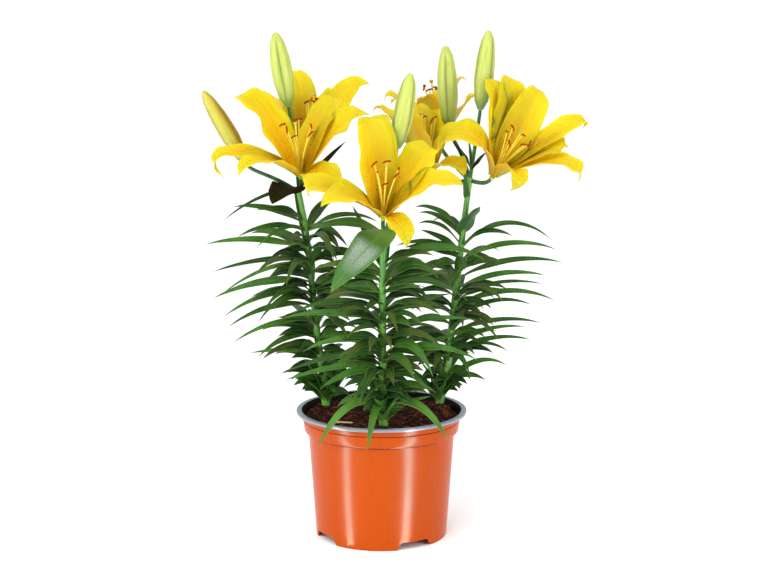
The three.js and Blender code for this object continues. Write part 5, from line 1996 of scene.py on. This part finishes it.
@dataclass
class Studio:
    """The pale floor, the soft lights and the camera at the photograph's viewing angle."""

    distance: float = 2000.0
    elevation_deg: float = 10.69
    focal: float = 2025.2
    image_width: int = 772
    sensor_mm: float = 36
    target: Point = (4.53, 0.0, 248.58)
    floor_half: float = 40.0
    wall_light: float = 0.3
    ceiling_light: float = 1.5
    lamp_aim: Point = (0.0, 0.0, 0.22)
    card_height: float = 0.002
    CARD_ENDS = (0.0, 0.03, 0.08, 0.17, 0.34)
    CARD_WIDTHS = (0.25, 0.4, 0.65, 1.0)

    def camera(self) -> None:
        """Sets up the camera."""
        data = bpy.data.cameras.new("photo_camera")
        data.sensor_fit = "HORIZONTAL"
        data.sensor_width = self.sensor_mm
        data.lens = self.focal / self.image_width * self.sensor_mm
        data.clip_start, data.clip_end = 0.05, 200
        camera = placed("photo_camera", data)
        e = math.radians(self.elevation_deg)
        ahead = Vector((0, math.cos(e), -math.sin(e)))
        camera.location = (Vector(self.target) - ahead * self.distance) * MM
        camera.rotation_euler = ahead.to_track_quat("-Z", "Y").to_euler()
        bpy.context.scene.camera = camera

    @staticmethod
    def panel(name: str, size: Pair, power: float) -> Object:
        """Makes a soft rectangular light.

        Args:
            name: The light's name.
            size: Its two sides, in metres.
            power: Its power, in watts.

        Returns:
            The light, at the origin.
        """
        data = bpy.data.lights.new(name, "AREA")
        data.shape = "RECTANGLE"
        data.size, data.size_y = size
        data.energy = power
        return placed(name, data)

    def lamp(self, name: str, place: Point, size: Pair, power: float) -> None:
        """Hangs a lamp that faces the plant.

        Args:
            name: The lamp's name.
            place: Where it hangs, in metres.
            size: Its width and height, in metres.
            power: Its power, in watts.
        """
        lamp = self.panel(name, size, power)
        lamp.location = place
        aim = Vector(self.lamp_aim) - Vector(place)
        lamp.rotation_euler = aim.to_track_quat("-Z", "Y").to_euler()

    def cards(self, name: str, start: Vec, heading_deg: float, wide: float, glow: float) -> None:
        """Lays a row of lit cards on the floor that widens away from the pot.

        They only show as a soft, even streak up the pot's glossy wall.

        Args:
            name: The row's name.
            start: The end of it that is next to the pot, in metres.
            heading_deg: The way that it runs from there, from +X towards +Y.
            wide: The last card's width, in metres.
            glow: Their power for each square metre, in watts.
        """
        ends = self.CARD_ENDS
        for k, share in enumerate(self.CARD_WIDTHS):
            size = (ends[k + 1] - ends[k], wide * share)
            card = self.panel(f"{name}_{k + 1}", size, glow * size[0] * size[1])
            middle = start + heading(heading_deg) * ends[k] + heading(heading_deg) * (size[0] / 2)
            card.location = (middle[0], middle[1], self.card_height)
            card.rotation_euler = (math.pi, 0, math.radians(heading_deg))
            card.visible_camera = False
            card.visible_diffuse = False

    def floor(self) -> None:
        """Adds the floor."""
        far = self.floor_half / MM
        corners = [(-far, -far, 0), (far, -far, 0), (far, far, 0), (-far, far, 0)]
        mesh = new_mesh("floor", corners, [], [(0, 1, 2, 3)])
        paint = MottledFinish("matt white floor paint", 0.9, ("#FAFAFA", "#FDFDFD"), 900.0, relief_mm=0.0)
        mesh.materials.append(paint.build())
        placed("floor", mesh)

    def air(self) -> None:
        """Lights the room itself, brightest overhead like a white ceiling lit by lamps."""
        world = bpy.data.worlds.new("soft white room")
        world.use_nodes = True
        world.node_tree.nodes.clear()
        add = partial(add_node, world.node_tree)
        height = add(SEPARATE, (add(COORDINATES).outputs["Generated"],)).outputs["Z"]
        glow = add(RANGE, (height, 0.0, 1.0, self.wall_light, self.ceiling_light))
        air = add("ShaderNodeBackground", {"Color": "#FFFFFF", "Strength": glow})
        add("ShaderNodeOutputWorld", {"Surface": air})
        bpy.context.scene.world = world

    def build(self) -> None:
        """Builds the studio."""
        self.camera()
        self.floor()
        self.air()
        # Plain colours, as the photograph's are.
        bpy.context.scene.view_settings.view_transform = "Standard"
        self.lamp("left_strip", (-1.55, -0.95, 0.55), (0.24, 1.2), 20)
        self.lamp("right_strip", (1.15, -1.25, 0.55), (0.2, 1.1), 15)
        self.lamp("front_box", (-0.7, -1.9, 1.9), (1.2, 1.0), 26)
        self.cards("left_card", vec([-0.034, -0.061]), 211.0, 0.034, 145.0)
        self.cards("right_card", vec([0.025, -0.065]), -44.0, 0.044, 175.0)


PLANTS = (
    Plant(
        "plant_left",
        [(-54, 27, 100), (-56, 28, 124), (-64, 28, 192), (-71, 26, 262), (-75, 23, 308), (-82, 18, 347)],
        4.2, 2.4, 18, 131, 312, 20, 11,
        [
            Leaf(345, (-155, -10, 318), 12, 4.5),
            Leaf(346, (-105, -30, 339), 10, 31, True, silver=-1.15),
            Leaf(345, (-35, 22, 393), 2, 8, silver=-1.1), Leaf(286, (-88, 44, 346), 2, 8),
            Leaf(309, (-146, 12, 329), 11, 9), Leaf(302, (-141, -8, 302), 13, 8),
            Leaf(284, (-174, 10, 292), 11, 9), Leaf(305, (-122, -14, 292), 14, 6),
            Leaf(274, (-166, -5, 267), 8, 7), Leaf(270, (-160, 30, 238), 14, 6),
            Leaf(251, (-167, 8, 238), 12, 10), Leaf(240, (-156, -6, 222), 15, 8),
            Leaf(236, (-122, -22, 217), 20, 7), Leaf(226, (-154, 14, 207), 15, 8),
            Leaf(210, (-148, 0, 194), 14, 7), Leaf(194, (-122, -10, 182), 15, 9),
            Leaf(181, (-132, 25, 179), 3, 7), Leaf(302, (-3, 10, 314), 18, 7),
            Leaf(306, (-33, -5, 292), 14, 9), Leaf(125, (-78, 8, 178), 5, 10, foot=(0, 0, 15)),
            Leaf(124, (-38, 6, 172), 6, 10, foot=(0, 0, 17)),
            Leaf(126, (-90, 28, 166), 5, 9, foot=(0, 0, 14)),
            Leaf(124, (-55, 8, 170), 4, 9, foot=(0, 0, 17)),
        ],
        96,
    ),
    Plant(
        "plant_middle",
        [(2, -55, 100), (2, -56, 124), (1, -54, 200), (1, -52, 268), (3, -50, 317)],
        4.4, 3.0, 17, 132, 292, 75, 29,
        [
            Leaf(316, (-47, -100, 265), 8, 27, True, silver=1.0, foot=(-1, -20, 1), roll=-0.6),
            Leaf(272, (9, -46, 322), 1, 8), Leaf(311, (-72, -40, 312), 16, 12),
            Leaf(277, (-28, -20, 335), 3, 9), Leaf(226, (-94, -50, 230), 11, 9),
            Leaf(237, (-84, -78, 240), 16, 8), Leaf(249, (-37, -45, 268), 3, 7),
            Leaf(202, (-76, -62, 199), 15, 9), Leaf(194, (-44, -88, 193), 8, 7),
            Leaf(196, (-95, -42, 174), 9, 8), Leaf(187, (-93, -70, 173), 6, 8),
            Leaf(181, (-58, -90, 171), 9, 10), Leaf(164, (-28, -88, 156), 13, 8),
            Leaf(138, (-60, -96, 114), 34, 8.5, taper=4.5), Leaf(277, (100, -42, 285), 25, 11),
            Leaf(258, (54, -75, 274), 26, 14), Leaf(255, (81, -95, 256), 22, 9),
            Leaf(231, (69, -40, 252), 6, 7), Leaf(223, (40, -90, 229), 19, 9),
            Leaf(218, (92, -66, 231), 10, 7), Leaf(191, (86, -45, 217), 2, 7),
            Leaf(188, (92, -72, 193), 20, 10), Leaf(186, (49, -102, 184), 36, 13),
            Leaf(165, (46, -92, 166), 21, 9), Leaf(138, (30, -62, 170), -1, 9),
            Leaf(137, (47, -82, 160), 3, 8), Leaf(137, (63, -92, 123), 31, 8.5, taper=4.5),
            Leaf(136, (-13, -101, 112), 29, 8, taper=4.5),
            Leaf(125, (-20, -72, 168), 6, 10, foot=(0, 0, 15)),
            Leaf(125, (22, -76, 162), 6, 10, foot=(0, 0, 15)),
            Leaf(126, (-6, -86, 158), 8, 10, foot=(0, 0, 14)),
        ],
        80,
    ),
    Plant(
        "plant_right",
        [(53, 31, 100), (59, 35, 124), (67, 35, 167), (75, 34, 242), (82, 32, 308), (88, 30, 356)],
        4.4, 2.8, 16, 132, 296, 200, 47,
        [
            Leaf(300, (97, 8, 330), 5, 16, True), Leaf(283, (169, 25, 294), 31, 6.8),
            Leaf(270, (173, 8, 287), 18, 7.8), Leaf(252, (182, 36, 269), 16, 7.8),
            Leaf(242, (163, 14, 260), 13, 7.8), Leaf(234, (159, -6, 255), 12, 5.8),
            Leaf(230, (123, -12, 250), 8, 6.8), Leaf(221, (175, 36, 230), 21, 7.8),
            Leaf(209, (150, 14, 230), 18, 6.8), Leaf(196, (161, 32, 208), 13, 6.8),
            Leaf(185, (143, 4, 210), 10, 6.8), Leaf(174, (151, 30, 191), 14, 6.8),
            Leaf(173, (126, 0, 186), 16, 6.8), Leaf(171, (88, -6, 163), 16, 9),
            Leaf(140, (126, 20, 167), 22, 7.8), Leaf(299, (33, 18, 328), 14, 8),
            Leaf(294, (37, 46, 318), 13, 7), Leaf(287, (36, 8, 313), 14, 7),
            Leaf(281, (39, 38, 302), 5, 8), Leaf(133, (26, 12, 141), 10, 8),
            Leaf(125, (38, 18, 174), 5, 10, foot=(0, 0, 15)),
            Leaf(124, (90, 16, 168), 6, 10, foot=(0, 0, 17)),
            Leaf(126, (72, 4, 164), 6, 10, foot=(0, 0, 14)),
            Leaf(124, (60, 12, 172), 4, 9, foot=(0, 0, 17)),
        ],
        58,
        (
            Leaf(365, (70, 28, 392), 2, 7), Leaf(367, (86, 24, 394), 1, 7),
            Leaf(332, (82, 20, 365), -3, 8), Leaf(362, (104, 26, 382), 2, 6),
            Leaf(364, (78, 22, 384), 3, 5),
        ),
    ),
)

BLOOMS = (
    Bloom("left_front", "plant_left", (-79, -5, 364), (-0.05, -0.5, 0.86), [
        Petal((-62, -15, 76), 47, 38), Petal((68, -12, 59), 38, 40),
        Petal((40, 22, 70), 32, 60), Petal((-72, -21, -1), 25, 125, 2.1),
        Petal((-56, -51, 5), 31, 75, 1.15), Petal((32, -35, -13), 34, 120, 1.35),
    ], 1),
    Bloom("left_back", "plant_left", (-73, 45, 376), (0.1, 0.05, 1), [
        Petal((-22, 31, 77), 35, 25, turn=-1), Petal((-47, 8, 56), 24, 80),
        Petal((61, 12, 70), 28, 20, turn=0.9), Petal((36, -22, 46), 26, 60),
        Petal((-15, 42, 58), 30, 60), Petal((28, 44, 56), 28, 60),
    ], 2, 0.5),
    Bloom("middle_front", "plant_middle", (2, -52, 330), (0.05, -0.5, 0.86), [
        Petal((-22, -8, 95), 40, 38), Petal((-68, -24, 21), 30, 125, 1.55),
        Petal((-58, -50, 16), 30, 60), Petal((49, 12, 60), 40, 70, 1.1),
        Petal((75, -30, 33), 36, 45), Petal((22, -48, -22), 25, 95),
        Petal((-6, 24, 93), 30, 50),
    ], 3),
    Bloom("right_front", "plant_right", (110, 16, 360), (0.42, -0.5, 0.76), [
        Petal((-10, 12, 93), 34, 55), Petal((11, 24, 97), 40, 35), Petal((43, 18, 83), 36, 50),
        Petal((88, 0, 47), 23, 85, 1.1), Petal((66, -15, 30), 30, 110),
        Petal((81, -28, -3), 32, 85, 1.3), Petal((15, -45, -9), 24, 110, 2.1),
        Petal((-56, -24, 24), 34, 110, 2.2),
    ], 4, lean=0.6),
    Bloom("back_low", "plant_right", (49, 55, 358), (-0.15, -0.1, 0.97), [
        Petal((-58, 0, 60), 27, 60), Petal((-28, -30, 56), 34, 70),
        Petal((39, -32, 52), 24, 20), Petal((32, -42, 2), 24, 110),
        Petal((-14, 26, 62), 30, 50), Petal((8, 27, 57), 26, 60),
    ], 5),
    Bloom("back_high", "plant_right", (60, 104, 385), (-0.15, 0.05, 0.98), [
        Petal((27, 10, 60), 27, 60), Petal((40, -8, 42), 20, 80), Petal((-57, 0, 40), 24, 80),
        Petal((-50, 30, 34), 26, 60), Petal((8, 34, 46), 28, 60), Petal((-18, -22, 44), 28, 50),
    ], 6, 0.7),
)

BUDS = (
    Bud("bud_left_low", "plant_left", (-131, -2, 373), (-172, -10, 445), 18, (-103, 10, 361), 0, None, 0.75),
    Bud("bud_left_high", "plant_left", (-90, -2, 429), (-102, -6, 501), 21, (-84, 8, 385), 1),
    Bud("bud_middle", "plant_middle", (15, -38, 393), (28, -34, 464), 20, (13, -40, 342), 2, 306),
    Bud("bud_right_low", "plant_right", (68, 60, 402), (64, 60, 484), 21, (84, 54, 378), 3),
    Bud("bud_right_high", "plant_right", (98, 42, 422), (106, 42, 500), 20, (92, 36, 380), 4),
)


def build_looks() -> dict[str, Material]:
    """Builds the plant's materials.

    Returns:
        The materials by name.
    """
    green = {"patch_mm": 9.0, "stretch": (1, 1, 0.25), "soft": 0.1}
    finishes = {
        "leaf": LeafFinish("living lily leaf", 0.42),
        "old_leaf": LeafFinish("old lily leaf", 0.6, specular=0.02),
        "stem": MottledFinish("living green stem", 0.45, ("#3A7228", "#579638", "#74AE48"), **green),
        "stalk": MottledFinish(
            "living flower stalk", 0.5, ("#23441A", "#35602A", "#4C7C38"), specular=0.25, **green
        ),
        "petal": PetalFinish("living lily petal", 0.5),
        "cup": MottledFinish(
            "living flower base", 0.5, ("#8FB03A", "#C9CC3E"), 4.0, relief_mm=0.1, soft=0.1
        ),
        "filament": MottledFinish(
            "living filament", 0.5, ("#DDBC2C", "#EAD84A"), 8.0, (1, 1, 0.3), 0.05, 0.15
        ),
        "anther": MottledFinish(
            "ripe anther with pollen", 0.9, ("#5A1802", "#8E3004", "#A8480A"), 0.8, relief_mm=0.25,
            specular=0.05,
        ),
        "stigma": MottledFinish(
            "moist green stigma", 0.35, ("#9A9428", "#B4A838"), 1.0, relief_mm=0.1, soft=0.1
        ),
        "bud": BudFinish("living lily bud", 0.42),
        "ripe_bud": BudFinish("ripening lily bud", 0.42, "#AFA630", "#9CA034", blush="#B07818"),
    }
    return {name: finish.build() for name, finish in finishes.items()}


def place_plants() -> dict[str, Plant]:
    """Places every stalk and leaf; all but the bracts and the foot's small leaves are kept clear of what was
    placed before them.

    Returns:
        The plants by name.
    """
    plants = {plant.name: plant for plant in PLANTS}
    room = Room(ROOM_CELL)
    for plant in PLANTS:
        room.put(rod_samples(np.array([vec(p) for p in plant.stem[1:]])), plant.name, 2)
    for item in BLOOMS + BUDS:
        item.place(room, plants[item.plant])
    for plant in PLANTS:
        plant.place_named(room)
    for plant in PLANTS:
        plant.place_spiral(room)
    box = tuple(np.array(corner) / MM for corner in CAD_BOX)
    for plant in PLANTS:
        plant.place_extra(room, box)
        plant.place_small()
        LOG.info("%s has %d leaves", plant.name, len(plant.blades))
    return plants


def main() -> None:
    """Builds the studio, the pot, the peat and the plants, in that order."""
    logging.basicConfig(level=logging.INFO, format="%(name)s: %(message)s")
    Studio().build()
    Pot().build()
    sweeper = Sweeper()
    Peat().build([plant.at(PEAT_TOP) for plant in PLANTS], sweeper)
    plants = place_plants()
    looks = build_looks()
    for item in (*plants.values(), *BLOOMS):
        item.build(sweeper, looks)
    for bud in BUDS:
        bud.build(looks["ripe_bud" if bud.blush else "bud"])


if __name__ == "__main__":
    main()
